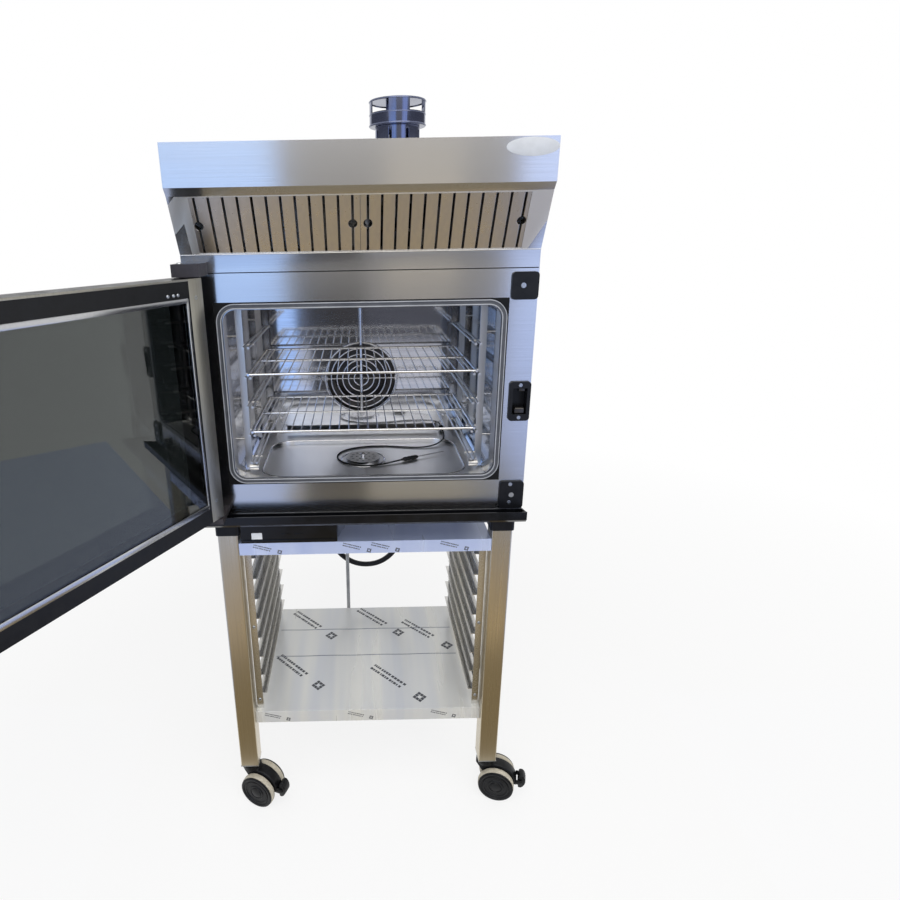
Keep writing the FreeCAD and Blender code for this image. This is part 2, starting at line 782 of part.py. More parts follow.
def build_cavity():
    t = s.sheet
    lip_back = s.frame_sheet + t
    sump_half = cavity_half - s.sump_margin
    sump_back = s.sump_front + s.sump_depth
    outer = rounded_block("liner_outer", cavity_half + t, cavity_floor - t, cavity_ceiling + t,
                          s.cavity_corner + t, (lip_back, cavity_back + t))
    inner = rounded_block("liner_inner", cavity_half, cavity_floor, cavity_ceiling, s.cavity_corner,
                          (lip_back, cavity_back))
    sump_outer = prism("sump_outer", "xy", [rectangle(both(sump_half + t), (s.sump_front - t, sump_back + t),
                                                      s.sump_corner + t)], (sump_floor - t, cavity_floor))
    sump_loop = rectangle(both(sump_half), (s.sump_front, sump_back), s.sump_corner)
    sump_inner = prism("sump_inner", "xy", [sump_loop], (sump_floor, cavity_floor + t))
    lip = prism("liner_lip", "xz",
                [rectangle(both(pillar_room), (cavity_floor - s.lip_rise, cavity_ceiling + s.lip_rise)),
                 rectangle(both(cavity_half), (mouth_low, mouth_high), s.mouth_corner)],
                (s.frame_sheet, lip_back))
    shaft_hole = rod("liner_shaft_hole", "y", (0, fan_z), (cavity_back - t, cavity_back + 2 * t),
                     s.shaft_radius + s.shaft_gap)
    outlet_hole = rod("liner_outlet_hole", "z", (0, drain_y), (sump_floor - 2 * t, sump_floor + t),
                      s.outlet_radius - t)
    full = fuse("liner_full", outer, sump_outer)
    shell = cut("liner_shell", full, inner, sump_inner, shaft_hole, outlet_hole)
    piece(fuse("cavity_liner", shell, lip), "cavity_liner")

    g = s.wool_gap
    wool_in = (cavity_half + t + g, sump_floor - t - g, cavity_ceiling + t + g, cavity_back + t + g)
    wool_front = lip_back + g
    block = box("wool_block", both(pillar_room), (wool_front, wool_in[3] + s.wool_thickness),
                (wool_in[1] - s.wool_bottom, wool_in[2] + s.wool_bottom))
    room = box("wool_room", both(wool_in[0]), (0, wool_in[3]), (wool_in[1], wool_in[2]))
    holes = [rod("wool_shaft_hole", "y", (0, fan_z), (cavity_back, wool_in[3] + 2 * s.wool_thickness),
                 s.shaft_radius + s.shaft_gap),
             rod("wool_outlet_hole", "z", (0, drain_y), (oven_bottom, sump_floor), s.outlet_radius + g)]
    piece(cut("insulation", block, room, *holes), "insulation")

    edge = cutout_half - s.gasket_gap
    low = cutout_low + s.gasket_gap
    high = cutout_high - s.gasket_gap
    w = s.gasket_width
    seal = prism("door_gasket", "xz", [rectangle(both(edge), (low, high), s.mouth_corner + w),
                                       rectangle(both(edge - w), (low + w, high - w), s.mouth_corner)],
                 (-s.gasket_proud, s.frame_sheet))
    piece(seal, "door_gasket")


# Fan, heater, steam and drain
def blade_ring(name, radius, length, thickness, ends, count):
    """Straight blades round a wheel on Z, from the rim inwards."""
    blades = []
    for number in range(count):
        blade = box(f"{name}_{number}", (radius - length, radius), both(thickness / 2), ends)
        blade.Placement = Placement(Vector(), Rotation(Vector(0, 0, 1), 1))
        spin = 360.0 / count * number
        blade.setExpression("Placement.Rotation.Angle", str(spin))
        bind(blade, "Placement.Base.x", (radius - length) * math.cos(math.radians(spin)))
        bind(blade, "Placement.Base.y", (radius - length) * math.sin(math.radians(spin)))
        bind(blade, "Placement.Base.z", ends[0])
        blades.append(blade)
    return blades


def build_fan():
    back = cavity_back
    slot_low = cavity_floor + s.return_slot_rise
    outline = rectangle(both(baffle_half), (cavity_floor, cavity_ceiling))
    slot_half = baffle_half - s.return_slot_margin
    return_slot = rectangle(both(slot_half), (slot_low, slot_low + s.return_slot_height))
    baffle = prism("fan_baffle", "xz", [outline, return_slot], (baffle_place, baffle_place + s.sheet),
                   [(0, fan_z, s.grille_radius - s.grille_wire * 2)])
    piece(baffle, "fan_baffle")
    front = baffle_place - s.grille_wire - s.slide_clearance
    wires = []
    for number in range(6):
        wires.append(ring(f"grille_ring_{number}", "y", (0, front, fan_z),
                          s.grille_radius - number * s.grille_pitch, s.grille_wire))
    wires.append(rod("grille_bar_level", "x", (front, fan_z), both(s.grille_radius), s.grille_bar))
    wires.append(rod("grille_bar_upright", "z", (0, front),
                     (fan_z - s.grille_radius, fan_z + s.grille_radius), s.grille_bar))
    tab = s.grille_wire * 3
    for word, side in SIDES.items():
        wires.append(box(f"grille_tab_{word}", side_span(side, s.grille_radius - tab, s.grille_radius + tab),
                         (front, baffle_place), (fan_z - tab, fan_z + tab)))
    piece(fuse("fan_grille", *wires), "fan_grille")

    # The wheel is modelled on Z and turned to face the cavity
    plate = rod("fan_plate", "z", (0, 0), (0, s.fan_plate), s.fan_radius)
    hub = rod("fan_hub", "z", (0, 0), (0, s.fan_depth * 0.6), s.fan_hub_radius)
    shaft_end = s.fan_back_gap + s.sheet + s.wool_gap + s.wool_thickness + s.motor_length / 2
    shaft = rod("fan_shaft", "z", (0, 0), (-shaft_end, s.fan_depth * 0.6), s.shaft_radius)
    blades = blade_ring("fan_blade", s.fan_radius, s.blade_length, s.fan_plate, (0, s.fan_depth), FAN_BLADES)
    rim_full = rod("fan_rim_full", "z", (0, 0), (s.fan_depth, s.fan_depth + s.fan_plate), s.fan_radius)
    rim_hole = rod("fan_rim_hole", "z", (0, 0), (s.fan_depth - s.fan_plate, s.fan_depth + 2 * s.fan_plate),
                   s.fan_radius - s.blade_length)
    rim = cut("fan_rim", rim_full, rim_hole)
    wheel = fuse("fan_wheel", plate, hub, shaft, rim, *blades)
    wheel.Placement = Placement(Vector(), Rotation(Vector(1, 0, 0), 90))
    piece(place(wheel, 0, back - s.fan_back_gap, fan_z), "fan_wheel")

    seat = back + s.sheet + s.wool_gap + s.wool_thickness
    half = s.motor_flange / 2
    flange = box("motor_flange", both(half), (seat, seat + s.door_sheet), (fan_z - half, fan_z + half))
    can = rod("motor_can", "y", (0, fan_z), (seat, seat + s.motor_length), s.motor_radius)
    bore = rod("motor_bore", "y", (0, fan_z), (seat - s.sheet, seat + s.motor_length / 2 + s.slide_clearance),
               s.shaft_radius + s.run_clearance)
    piece(cut("fan_motor", fuse("motor_solid", flange, can), bore), "fan_motor")

    loops = []
    heater_radius = s.fan_radius + s.heater_gap
    for number in range(3):
        y = back - s.fan_back_gap - number * s.heater_pitch
        loops.append(ring(f"heater_ring_{number}", "y", (0, y, fan_z), heater_radius, s.heater_wire))
    for word, side in SIDES.items():
        loops.append(rod(f"heater_stud_{word}", "y", (side * heater_radius, fan_z),
                         (back - s.fan_back_gap - 2 * s.heater_pitch, back), s.heater_wire))
    piece(fuse("heating_element", *loops), "heating_element")

    pipe_y = front - s.grille_wire - s.steam_pipe_gap
    piece(rod("steam_pipe", "z", (0, pipe_y), (cavity_ceiling - s.steam_pipe_length, cavity_ceiling),
              s.steam_pipe_radius), "steam_pipe")


def build_drain():
    crown = sump_floor + s.strainer_height
    cover = rod("strainer_cover", "z", (0, drain_y), (sump_floor, crown), s.strainer_radius)
    under = rod("strainer_under", "z", (0, drain_y), (sump_floor - s.sheet, crown - s.sheet),
                s.strainer_radius - s.sheet)
    holes = []
    for circle, count in ((0.35, 6), (0.68, 12)):
        for number in range(count):
            turn = 2 * math.pi * number / count
            holes.append(rod(f"strainer_hole_{count}_{number}", "z",
                             (s.strainer_radius * (circle * math.cos(turn)),
                              drain_y + s.strainer_radius * (circle * math.sin(turn))),
                             (sump_floor, sump_floor + 2 * s.strainer_height), s.strainer_hole))
    piece(cut("drain_strainer", cover, under, *holes), "drain_strainer")

    outlet = cut("sump_outlet", rod("sump_outlet_full", "z", (0, drain_y), (base_under, sump_floor - s.sheet),
                                    s.outlet_radius),
                 rod("sump_outlet_bore", "z", (0, drain_y), (base_under - s.sheet, sump_floor),
                     s.outlet_radius - s.sheet))
    standpipe = rod("standpipe", "z", (-s.standpipe_x, s.standpipe_y), (s.standpipe_low, base_under),
                    s.standpipe_radius)
    stubs = [rod(f"hose_stub_{word}", "z", (x, s.hose_y), (base_under - s.hose_stub_length, base_under),
                 s.hose_stub_radius) for word, x in (("left", -s.hose_left_x), ("right", s.hose_right_x))]
    piece(group("drain_pipework", outlet, standpipe, *stubs), "drain_pipework")


# Cords: the route's points are joined by straight runs and tangent arcs
HOSE_ROUTE = [(-128, 600, 884), (-132, 600, 760), (-134, 600, 625), (-120, 600, 505), (-45, 600, 417),
              (63, 600, 416), (136, 600, 502), (152, 600, 622), (150, 600, 758), (146, 600, 884)]
PROBE_ROUTE = [(235, 386, 990), (238, 352, 988), (230, 312, 983), (203, 281, 977), (160, 268, 974.5),
               (105, 280, 974.2), (50, 292, 974.2), (-5, 286, 974.2), (-50, 262, 974.2), (-72, 222, 974.2),
               (-63, 177, 974.2), (-28, 145, 974.2), (20, 137, 974.3), (62, 150, 975.5), (99, 168, 978)]


def cord_tube(name, route, radius):
    points = [Vector(*point) for point in route]
    edges, bends = [], []
    last = points[0]
    length = 0.0
    for before, corner, after in zip(points, points[1:], points[2:]):
        into, out = (before - corner), (after - corner)
        turn = math.pi - into.getAngle(out)
        reach = 0.45 * min(into.Length, out.Length)
        bend = reach / math.tan(turn / 2)
        start = corner + into.normalize() * reach
        end = corner + out.normalize() * reach
        bisector = (into + out).normalize()
        middle = corner + bisector * (bend / math.cos(turn / 2) - bend)
        edges.append(Part.LineSegment(last, start).toShape())
        edges.append(Part.Arc(start, middle, end).toShape())
        bends.append(bend)
        last = end
    edges.append(Part.LineSegment(last, points[-1]).toShape())
    path = Part.Wire(edges)
    section = Part.Wire(Part.Circle(points[0], points[1] - points[0], radius).toShape())
    tube = path.makePipeShell([section], True, True)
    expected = math.pi * radius ** 2 * path.Length
    print(f"{name}: length {path.Length:.1f}, radii {min(bends):.0f} to {max(bends):.0f}, "
          f"volume ratio {tube.Volume / expected:.4f}")
    obj = doc.addObject("Part::Feature", name)
    obj.Shape = tube
    obj.Placement = Placement()
    return obj


def build_cords():
    piece(cord_tube("siphon_hose", HOSE_ROUTE, float(s.hose_radius)), "siphon_hose")
    piece(cord_tube("probe_cable", PROBE_ROUTE, float(s.probe_cable_radius)), "probe_cable")
    piece(rod("probe_grommet", "y", (baffle_half - s.grommet_inset, cavity_floor + s.grommet_rise),
              (baffle_place - s.grommet_length, baffle_place), s.grommet_radius), "probe_grommet")
    tip = Vector(*PROBE_ROUTE[-1])
    lie = tip - Vector(*PROBE_ROUTE[-2])
    handle = rod("probe_handle", "z", (0, 0), (0, s.probe_handle_length), s.probe_handle_radius)
    needle_tip = s.probe_handle_length + s.probe_needle_length
    needle = rod("probe_needle", "z", (0, 0), (s.probe_handle_length, needle_tip), s.probe_needle_radius)
    probe = fuse("core_probe", handle, needle)
    level = Vector(lie.x, lie.y, 0)
    probe.Placement = Placement(tip, Rotation(Vector(0, 0, 1), level))
    piece(probe, "core_probe")


# Rack ladders and racks
def level_height(number):
    return cavity_floor + s.lowest_level + number * s.level_pitch


post_outer = cavity_half - s.post_inset
post_inner = post_outer - s.post_width


def rack_ladder(word, side):
    outer, inner = post_outer, post_inner
    parts = []
    low, high = cavity_floor + s.post_rise, cavity_ceiling - s.mouth_bottom
    for end, y in (("front", s.front_post_place), ("rear", baffle_place - s.rear_post_gap)):
        span = (y, y + s.post_thickness)
        middle = y + s.post_thickness / 2
        parts.append(box(f"post_{word}_{end}", side_span(side, inner, outer), span, (low, high)))
        for seat, z in (("low", cavity_floor + s.cavity_corner + s.lowest_level),
                        ("high", cavity_ceiling - s.cavity_corner - s.lowest_level)):
            parts.append(rod(f"standoff_{word}_{end}_{seat}", "x", (middle, z),
                             side_span(side, inner, cavity_half), s.post_thickness / 2))
        for number in range(RACK_LEVELS):
            z = level_height(number) - s.rack_rim - s.slide_clearance - s.rail_rod
            parts.append(rod(f"rail_arm_{word}_{end}_{number}", "x", (middle, z),
                             side_span(side, inner - s.rail_spacing * 2, inner + s.rail_rod),
                             s.post_thickness / 2))
    for number in range(RACK_LEVELS):
        z = level_height(number) - s.rack_rim - s.slide_clearance - s.rail_rod
        for place_in, offset in (("near", s.rail_spacing * 0.5), ("far", s.rail_spacing * 1.5)):
            x = inner - offset
            parts.append(rod(f"rail_{word}_{number}_{place_in}", "y", (side * x, z),
                             (s.rail_front, baffle_place - s.rail_back_gap), s.rail_rod))
    knob_z = cavity_floor + s.knob_height
    parts.append(rod(f"knob_{word}", "x", (s.front_post_place + s.post_thickness / 2, knob_z),
                     side_span(side, inner - s.knob_length, inner + s.post_width / 2), s.knob_radius))
    return fuse(f"rack_ladder_{word}", *parts)


def wire_rack(name, number):
    """A rack whose side rims lie between the two rods of a rail."""
    z = level_height(number)
    half = post_inner - s.rail_spacing
    front = s.rack_front + s.rack_rim
    back = baffle_place - s.rack_back_gap - s.rack_rim
    wires = []
    for word, side in SIDES.items():
        wires.append(rod(f"{name}_rim_{word}", "y", (side * half, z), (front - s.rack_rim, back + s.rack_rim),
                         s.rack_rim))
    for word, y in (("front", front), ("back", back), ("middle", (front + back) / 2)):
        wires.append(rod(f"{name}_rim_{word}", "x", (y, z), both(half), s.rack_rim))
    pitch = half * 2 / (RACK_WIRES + 1)
    for wire in range(1, RACK_WIRES + 1):
        wires.append(rod(f"{name}_wire_{wire}", "y", (wire * pitch - half, z), (front, back), s.rack_wire))
    return fuse(name, *wires)


def build_racks():
    for word, side in SIDES.items():
        piece(rack_ladder(word, side), f"rack_ladder_{word}")
    for name, number in (("lower_rack", 1), ("upper_rack", 3)):
        piece(wire_rack(name, number), name)


# Front fittings
def build_front_fittings():
    high = oven_top - s.upper_block_drop
    low = oven_bottom + s.lower_block_rise
    proud = (-s.block_proud, 0)
    upper_loop = rectangle((block_inner, oven_half), (high - s.upper_block_height, high), s.foot_corner)
    lower_loop = rectangle((block_inner, oven_half), (low, low + s.lower_block_height), s.foot_corner)
    upper = prism("upper_block", "xz", [upper_loop], proud)
    lower = prism("lower_block", "xz", [lower_loop], proud,
                  [(plunger_x, plunger_z, s.plunger_radius + s.run_clearance)])
    piece(group("corner_blocks", upper, lower), "corner_blocks")
    body = rod("plunger_body", "y", (plunger_x, plunger_z), (-s.plunger_proud, s.keeper_depth),
               s.plunger_radius)
    collar = rod("plunger_collar", "y", (plunger_x, plunger_z),
                 (s.frame_sheet + s.slide_clearance, s.frame_sheet + s.sheet * 2), s.plunger_radius + s.sheet)
    piece(fuse("door_plunger", body, collar), "door_plunger")

    half, tall = s.keeper_width / 2, s.keeper_height / 2
    face_loop = rectangle((keeper_x - half, keeper_x + half), (keeper_z - tall, keeper_z + tall),
                          s.foot_corner)
    face = prism("keeper_face", "xz", [face_loop], proud)
    wall = keeper_box_half - s.slide_clearance
    rise = keeper_box_high - s.slide_clearance
    housing = box("keeper_housing", (keeper_x - wall, keeper_x + wall), (0, s.keeper_depth),
                  (keeper_z - rise, keeper_z + rise))
    half, tall = s.keeper_pocket_width / 2, s.keeper_pocket_height / 2
    pocket = box("keeper_pocket", (keeper_x - half, keeper_x + half),
                 (-2 * s.block_proud, s.keeper_depth - s.keeper_wall), (keeper_z - tall, keeper_z + tall))
    piece(cut("latch_keeper", fuse("keeper_solid", face, housing), pocket), "latch_keeper")

    w = s.gutter_wall
    floor = oven_bottom - s.gutter_low
    rim = door_low - s.hinge_end_gap - s.lower_arm_height
    reach = s.gutter_reach
    trough = [(0, floor), (0, oven_bottom), (-w, oven_bottom), (-w, floor + w), (w * 2 - reach, floor + w),
              (w - reach, floor + s.gutter_chamfer), (w - reach, rim), (-reach, rim),
              (-reach, floor + s.gutter_chamfer), (s.gutter_chamfer - reach, floor)]
    half = oven_half + s.gutter_overhang
    end_plate = [(0, floor), (0, oven_bottom), (-reach, rim), (-reach, floor + s.gutter_chamfer),
                 (s.gutter_chamfer - reach, floor)]
    parts = [prism("gutter_trough", "yz", [trough[::-1]], both(half))]
    for word, side in SIDES.items():
        parts.append(prism(f"gutter_end_{word}", "yz", [end_plate[::-1]], side_span(side, half - w, half)))
    piece(fuse("drip_gutter", *parts), "drip_gutter")

    left = s.foot_size / 2 + s.drawer_gap - leg_middle_x
    right = left + s.drawer_width
    bottom = stand_top_height + s.slide_clearance
    top = bottom + s.drawer_height
    front = s.stand_front
    w = s.drawer_wall
    outside = box("drawer_outside", (left, right), (front, front + s.drawer_depth), (bottom, top))
    inside = box("drawer_inside", (left + w, right - w), (front + s.drawer_face, front + s.drawer_depth - w),
                 (bottom + w, top + w))
    piece(cut("drip_drawer", outside, inside), "drip_drawer")


# Door, modelled closed about its hinge line and then swung open
door_half = oven_half - s.door_side_gap
hinge_x = s.hinge_side_inset - door_half
hinge_y = -s.hinge_depth
door_low = oven_bottom + s.door_rise
door_high = oven_top - s.door_top_gap
door_inner = s.hinge_depth - s.door_gap
door_outer = door_inner - s.door_thickness
latch_x = keeper_x - hinge_x
door_left = -s.hinge_side_inset
door_right = door_half * 2 - s.hinge_side_inset


def swing(obj):
    obj.Placement = Placement(Vector(), Rotation(Vector(0, 0, 1), -1))
    obj.setExpression("Placement.Rotation.Angle", "-Sizes.door_open_angle")
    return place(obj, hinge_x, hinge_y)


def build_door():
    t = s.door_sheet
    outside = box("door_outside", (door_left, door_right), (door_outer, door_inner), (door_low, door_high))
    hollow = box("door_hollow", (door_left + t, door_right - t), (door_outer - t, door_inner - t),
                 (door_low + t, door_high - t))
    window_x = (door_left + s.door_stile, door_right - s.door_stile)
    window_z = (door_low + s.window_bottom, door_high - s.window_top)
    window = box("door_window", window_x, (door_inner - 2 * t, door_inner + t), window_z)
    shell = cut("door_shell", outside, hollow, window)
    half = s.pivot_block / 2
    near = (door_left, door_left + s.pivot_block)
    blocks = [box("pivot_block_low", near, both(half), (door_low, door_low + s.pivot_block_height)),
              box("pivot_block_high", near, both(half), (door_high - s.pivot_block_height, door_high))]
    r = s.hinge_pin_radius + s.run_clearance
    depth = s.hinge_pin_length + s.slide_clearance
    bores = [rod("pivot_bore_low", "z", (0, 0), (door_low - t, door_low + depth), r),
             rod("pivot_bore_high", "z", (0, 0), (door_high - depth, door_high + t), r),
             rod("latch_bore", "y", (latch_x, keeper_z), (door_inner - 2 * t, door_inner + t),
                 s.latch_shaft_radius + s.run_clearance)]
    frame = cut("door_frame", fuse("door_frame_solid", shell, *blocks), *bores)
    piece(swing(frame), "door_frame")

    lap = s.glass_lap
    pane = prism("inner_glass", "xz", [rectangle((window_x[0] - lap, window_x[1] + lap),
                                                 (window_z[0] - lap, window_z[1] + lap))],
                 (door_inner - t - s.glass_thickness, door_inner - t))
    piece(swing_body(pane, door_inner - t - s.glass_thickness), "inner_glass")
    front_loop = rectangle((door_left, door_right), (door_low, door_high), s.foot_corner)
    front = prism("outer_glass", "xz", [front_loop], (door_outer - s.glass_thickness, door_outer),
                  [(latch_x, keeper_z, s.latch_shaft_radius + s.sheet)])
    piece(swing_body(front, door_outer - s.glass_thickness), "outer_glass")

    face = door_outer - s.glass_thickness
    tip = s.hinge_depth + s.latch_reach
    shaft = rod("latch_shaft", "y", (latch_x, keeper_z), (face - s.handle_gap, tip), s.latch_shaft_radius)
    half = s.latch_cam_width / 2
    cam = box("latch_cam", (latch_x - half, latch_x + half), (tip - s.latch_cam_thickness, tip),
              (keeper_z - s.latch_cam_length, keeper_z + s.latch_cam_length))
    piece(swing(fuse("door_latch", shaft, cam)), "door_latch")
    hub_front = face - s.handle_gap
    hub = rod("handle_hub", "y", (latch_x, keeper_z), (hub_front - s.handle_hub_depth, hub_front),
              s.handle_hub_radius)
    half = s.handle_width / 2
    lever_loop = rectangle((latch_x - half, latch_x + half),
                           (keeper_z - s.handle_length, keeper_z + s.handle_hub_radius), s.foot_corner)
    lever = prism("handle_lever", "xz", [lever_loop],
                  (hub_front - s.handle_hub_depth - s.handle_thickness, hub_front - s.handle_hub_depth))
    piece(swing(fuse("door_handle", hub, lever)), "door_handle")

    wide = (-s.hinge_arm_overhang - oven_half, s.hinge_arm_width - s.hinge_arm_overhang - oven_half)
    upper_low = door_high + s.hinge_end_gap
    reach = (-s.hinge_arm_reach, 0)
    upper = fuse("upper_hinge", box("upper_arm", wide, reach, (upper_low, upper_low + s.upper_arm_height)),
                 rod("upper_pin", "z", (hinge_x, hinge_y), (door_high - s.hinge_pin_length, upper_low),
                     s.hinge_pin_radius))
    lower_top = door_low - s.hinge_end_gap
    lower = fuse("lower_hinge", box("lower_arm", wide, reach, (lower_top - s.lower_arm_height, lower_top)),
                 rod("lower_pin", "z", (hinge_x, hinge_y), (lower_top, door_low + s.hinge_pin_length),
                     s.hinge_pin_radius))
    piece(group("hinge_brackets", upper, lower), "hinge_brackets")


def swing_body(body, start):
    """Swings a padded piece, whose own offset lies along the turned Y axis."""
    body.setExpression("Placement.Base.y", None)
    body.Placement = Placement(Vector(), Rotation(Vector(0, 0, 1), -1))
    turn = "Sizes.door_open_angle"
    body.setExpression("Placement.Rotation.Angle", f"-{turn}")
    body.setExpression("Placement.Base.x", f"{hinge_x.text} + {start.text} * sin({turn})")
    body.setExpression("Placement.Base.y", f"{hinge_y.text} + {start.text} * cos({turn})")
    return body


# Hood
slope_foot = (as_size(0), oven_top + s.hood_strip)
slope_head = (-s.filter_overhang, oven_top + s.filter_top)
slope_dy = slope_head[0] - slope_foot[0]
slope_dz = slope_head[1] - slope_foot[1]
slope_length = Size(f"sqrt({slope_dy.text} * {slope_dy.text} + {slope_dz.text} * {slope_dz.text})",
                    math.hypot(slope_dy.value, slope_dz.value))


def on_slope(along, out):
    """A point on the filter slope: a share of the way up it, and a share of its length outwards."""
    return (slope_foot[0] + slope_dy * along - slope_dz * out,
            slope_foot[1] + slope_dz * along + slope_dy * out)


def build_hood():
    t = s.hood_sheet
    bottom, top = oven_top, oven_top + s.fascia_bottom + s.fascia_height
    lip = (-s.hood_overhang, oven_top + s.fascia_bottom)
    back = s.hood_depth
    outer = [(back, bottom), (back, top), (-s.hood_overhang, top), lip, slope_head, slope_foot, (0, bottom)]
    inner = [(back - t, bottom + t), (back - t, top - t), (t - s.hood_overhang, top - t),
             (lip[0] + t, lip[1] + t / 2), (slope_head[0] + t, slope_head[1] + t / 2),
             (slope_foot[0] + t, slope_foot[1] + t / 2), (t, bottom + t)]
    solid = prism("hood_outside", "yz", [outer], both(oven_half))
    room = prism("hood_inside", "yz", [inner], both(oven_half - t))
    opening_half = oven_half - s.filter_margin
    low = s.filter_mouth_edge / slope_length
    high = as_size(1) - low
    through = s.filter_thickness / slope_length
    mouth = prism("hood_mouth", "yz", [[on_slope(low, through), on_slope(low, -through),
                                        on_slope(high, -through), on_slope(high, through)]], both(opening_half))
    flue_hole = rod("hood_flue_hole", "z", (s.flue_x, s.flue_y), (top - 2 * t, top + t),
                    s.flue_neck_radius - s.flue_wall)
    piece(cut("hood_shell", solid, room, mouth, flue_hole), "hood_shell")

    filters = [hood_filter(f"hood_filter_{word}", side) for word, side in SIDES.items()]
    piece(group("hood_filters", *filters), "hood_filters")

    floor = bottom + t
    motor_top = floor + s.hood_motor_height
    motor = rod("hood_motor_can", "z", (s.flue_x, s.flue_y), (floor, motor_top), s.hood_motor_radius)
    bore = rod("hood_motor_bore", "z", (s.flue_x, s.flue_y), (floor + s.hood_motor_height / 2, motor_top + t),
               s.hood_shaft_radius + s.run_clearance)
    piece(cut("hood_motor", motor, bore), "hood_motor")
    disc = rod("hood_fan_disc", "z", (0, 0), (0, s.fan_plate), s.hood_fan_radius)
    shaft = rod("hood_fan_shaft", "z", (0, 0), (-s.hood_motor_height / 2, s.hood_fan_depth / 2),
                s.hood_shaft_radius)
    blades = blade_ring("hood_blade", s.hood_fan_radius, s.blade_length, s.fan_plate, (0, s.hood_fan_depth),
                        FAN_BLADES)
    wheel = fuse("hood_fan", disc, shaft, *blades)
    piece(place(wheel, s.flue_x, s.flue_y, motor_top + s.fan_plate * 2), "hood_fan")
    build_flue(top)


def hood_filter(name, side):
    """A flat slotted panel, modelled level and then tilted to lie behind the hood's opening."""
    width = oven_half - s.filter_margin + s.filter_lap - s.slide_clearance
    low, high = s.filter_edge, slope_length - s.filter_edge
    x0 = s.slide_clearance if side == RIGHT else -s.slide_clearance - width
    loops = [rectangle((x0, x0 + width), (low, high))]
    first = x0 + (width - s.slot_pitch * (FILTER_SLOTS - 1)) / 2 - s.slot_width / 2
    for number in range(FILTER_SLOTS):
        start = first + number * s.slot_pitch
        loops.append(rectangle((start, start + s.slot_width), (low + s.filter_rim, high - s.filter_rim)))
    panel = prism(f"{name}_panel", "xy", loops, (0, s.filter_thickness))
    end_slots = (first + s.slot_width / 2, first + s.slot_pitch * (FILTER_SLOTS - 1) + s.slot_width / 2)
    holes = [rod(f"{name}_finger_hole_{number}", "z", (x, slope_length / 2),
                 (-s.hood_sheet, s.filter_thickness + s.hood_sheet), s.finger_hole_radius)
             for number, x in enumerate(end_slots)]
    body = cut(name, panel, *holes)
    body.Placement = Placement(Vector(), Rotation(Vector(1, 0, 0), 1))
    body.setExpression("Placement.Rotation.Angle", f"atan2({slope_dz.text}; {slope_dy.text})")
    inset = s.hood_sheet + s.slide_clearance + s.filter_thickness
    share = inset / slope_length
    spot = on_slope(0, -share)
    return place(body, 0, spot[0], spot[1])


def tube(name, centre, ends, radius, wall):
    outer = rod(f"{name}_outer", "z", centre, ends, radius)
    bore = rod(f"{name}_bore", "z", centre, ends, radius - wall)
    return cut(name, outer, bore)


def flue_cuts(name, turns, width, reach, ends):
    """Level bars through the flue's axis, each of which cuts two openings that face each other."""
    half = width / 2
    bars = []
    for number, turn in enumerate(turns):
        bar = box(f"{name}_{number}", both(reach), both(half), (0, ends[1] - ends[0]))
        bar.Placement = Placement(Vector(), Rotation(Vector(0, 0, 1), turn))
        across, along = math.cos(math.radians(turn)), math.sin(math.radians(turn))
        bars.append(place(bar, s.flue_x - reach * across + half * along,
                          s.flue_y - reach * along - half * across, ends[0]))
    return bars


def build_flue(top):
    centre = (s.flue_x, s.flue_y)
    neck_top = top + s.flue_neck_height
    neck = tube("flue_neck_tube", centre, (top, neck_top), s.flue_neck_radius, s.flue_wall)
    slots = flue_cuts("flue_slot", (22.5, 67.5, 112.5, 157.5), s.flue_slot_width,
                      s.flue_neck_radius + s.flue_wall,
                      (top + s.flue_slot_margin, neck_top - s.flue_slot_margin))
    piece(cut("flue_neck", neck, *slots), "flue_neck")

    cap_top = neck_top + s.flue_cap_height
    full = rod("flue_cap_full", "z", centre, (neck_top, cap_top), s.flue_cap_radius)
    room = rod("flue_cap_room", "z", centre, (neck_top + s.flue_wall, cap_top - s.flue_wall),
               s.flue_cap_radius - s.flue_wall)
    throat = rod("flue_cap_throat", "z", centre, (neck_top - s.flue_wall, neck_top + 2 * s.flue_wall),
                 s.flue_neck_radius - s.flue_wall)
    high = cap_top - s.flue_window_margin
    windows = flue_cuts("flue_window", (45, 135), s.flue_window_width, s.flue_cap_radius + s.flue_wall,
                        (high - s.flue_window_height, high))
    piece(cut("flue_cap", full, room, throat, *windows), "flue_cap")


def build_rear_fittings():
    face = oven_back + s.sheet
    z = oven_bottom + s.inlet_rise
    inlet = rod("water_inlet", "y", (-s.inlet_x, z), (face, face + s.inlet_length), s.inlet_radius)
    gland = rod("cable_gland", "y", (s.inlet_x, z), (face, face + s.gland_length), s.gland_radius)
    piece(group("rear_fittings", inlet, gland), "rear_fittings")


def export():
    doc.recompute()
    failed = [obj.Name for obj in doc.Objects if "Invalid" in obj.State or "Error" in obj.State]
    if failed:
        raise RuntimeError(f"features failed: {failed}")
    for obj in pieces:
        if obj.Shape.isNull() or not obj.Shape.isValid() or not obj.Shape.Solids:
            raise RuntimeError(f"bad shape: {obj.Label}")
    os.makedirs("parts", exist_ok=True)
    for obj in pieces:
        obj.Shape.exportStep(f"parts/{obj.Label}.step")
        print(f"{obj.Label}: {len(obj.Shape.Solids)} solids, {obj.Shape.Volume / 1000:.1f} cm3")
    print(len(pieces), "pieces")


build_stand()
build_casters()
build_casing()
build_cavity()
build_fan()
build_drain()
build_cords()
build_racks()
build_front_fittings()
build_door()
build_hood()
build_rear_fittings()
export()
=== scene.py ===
import json
import logging
import math
from dataclasses import dataclass, replace
from enum import Enum
from typing import Iterable, Sequence

import bmesh
import bpy
from mathutils import Matrix, Vector


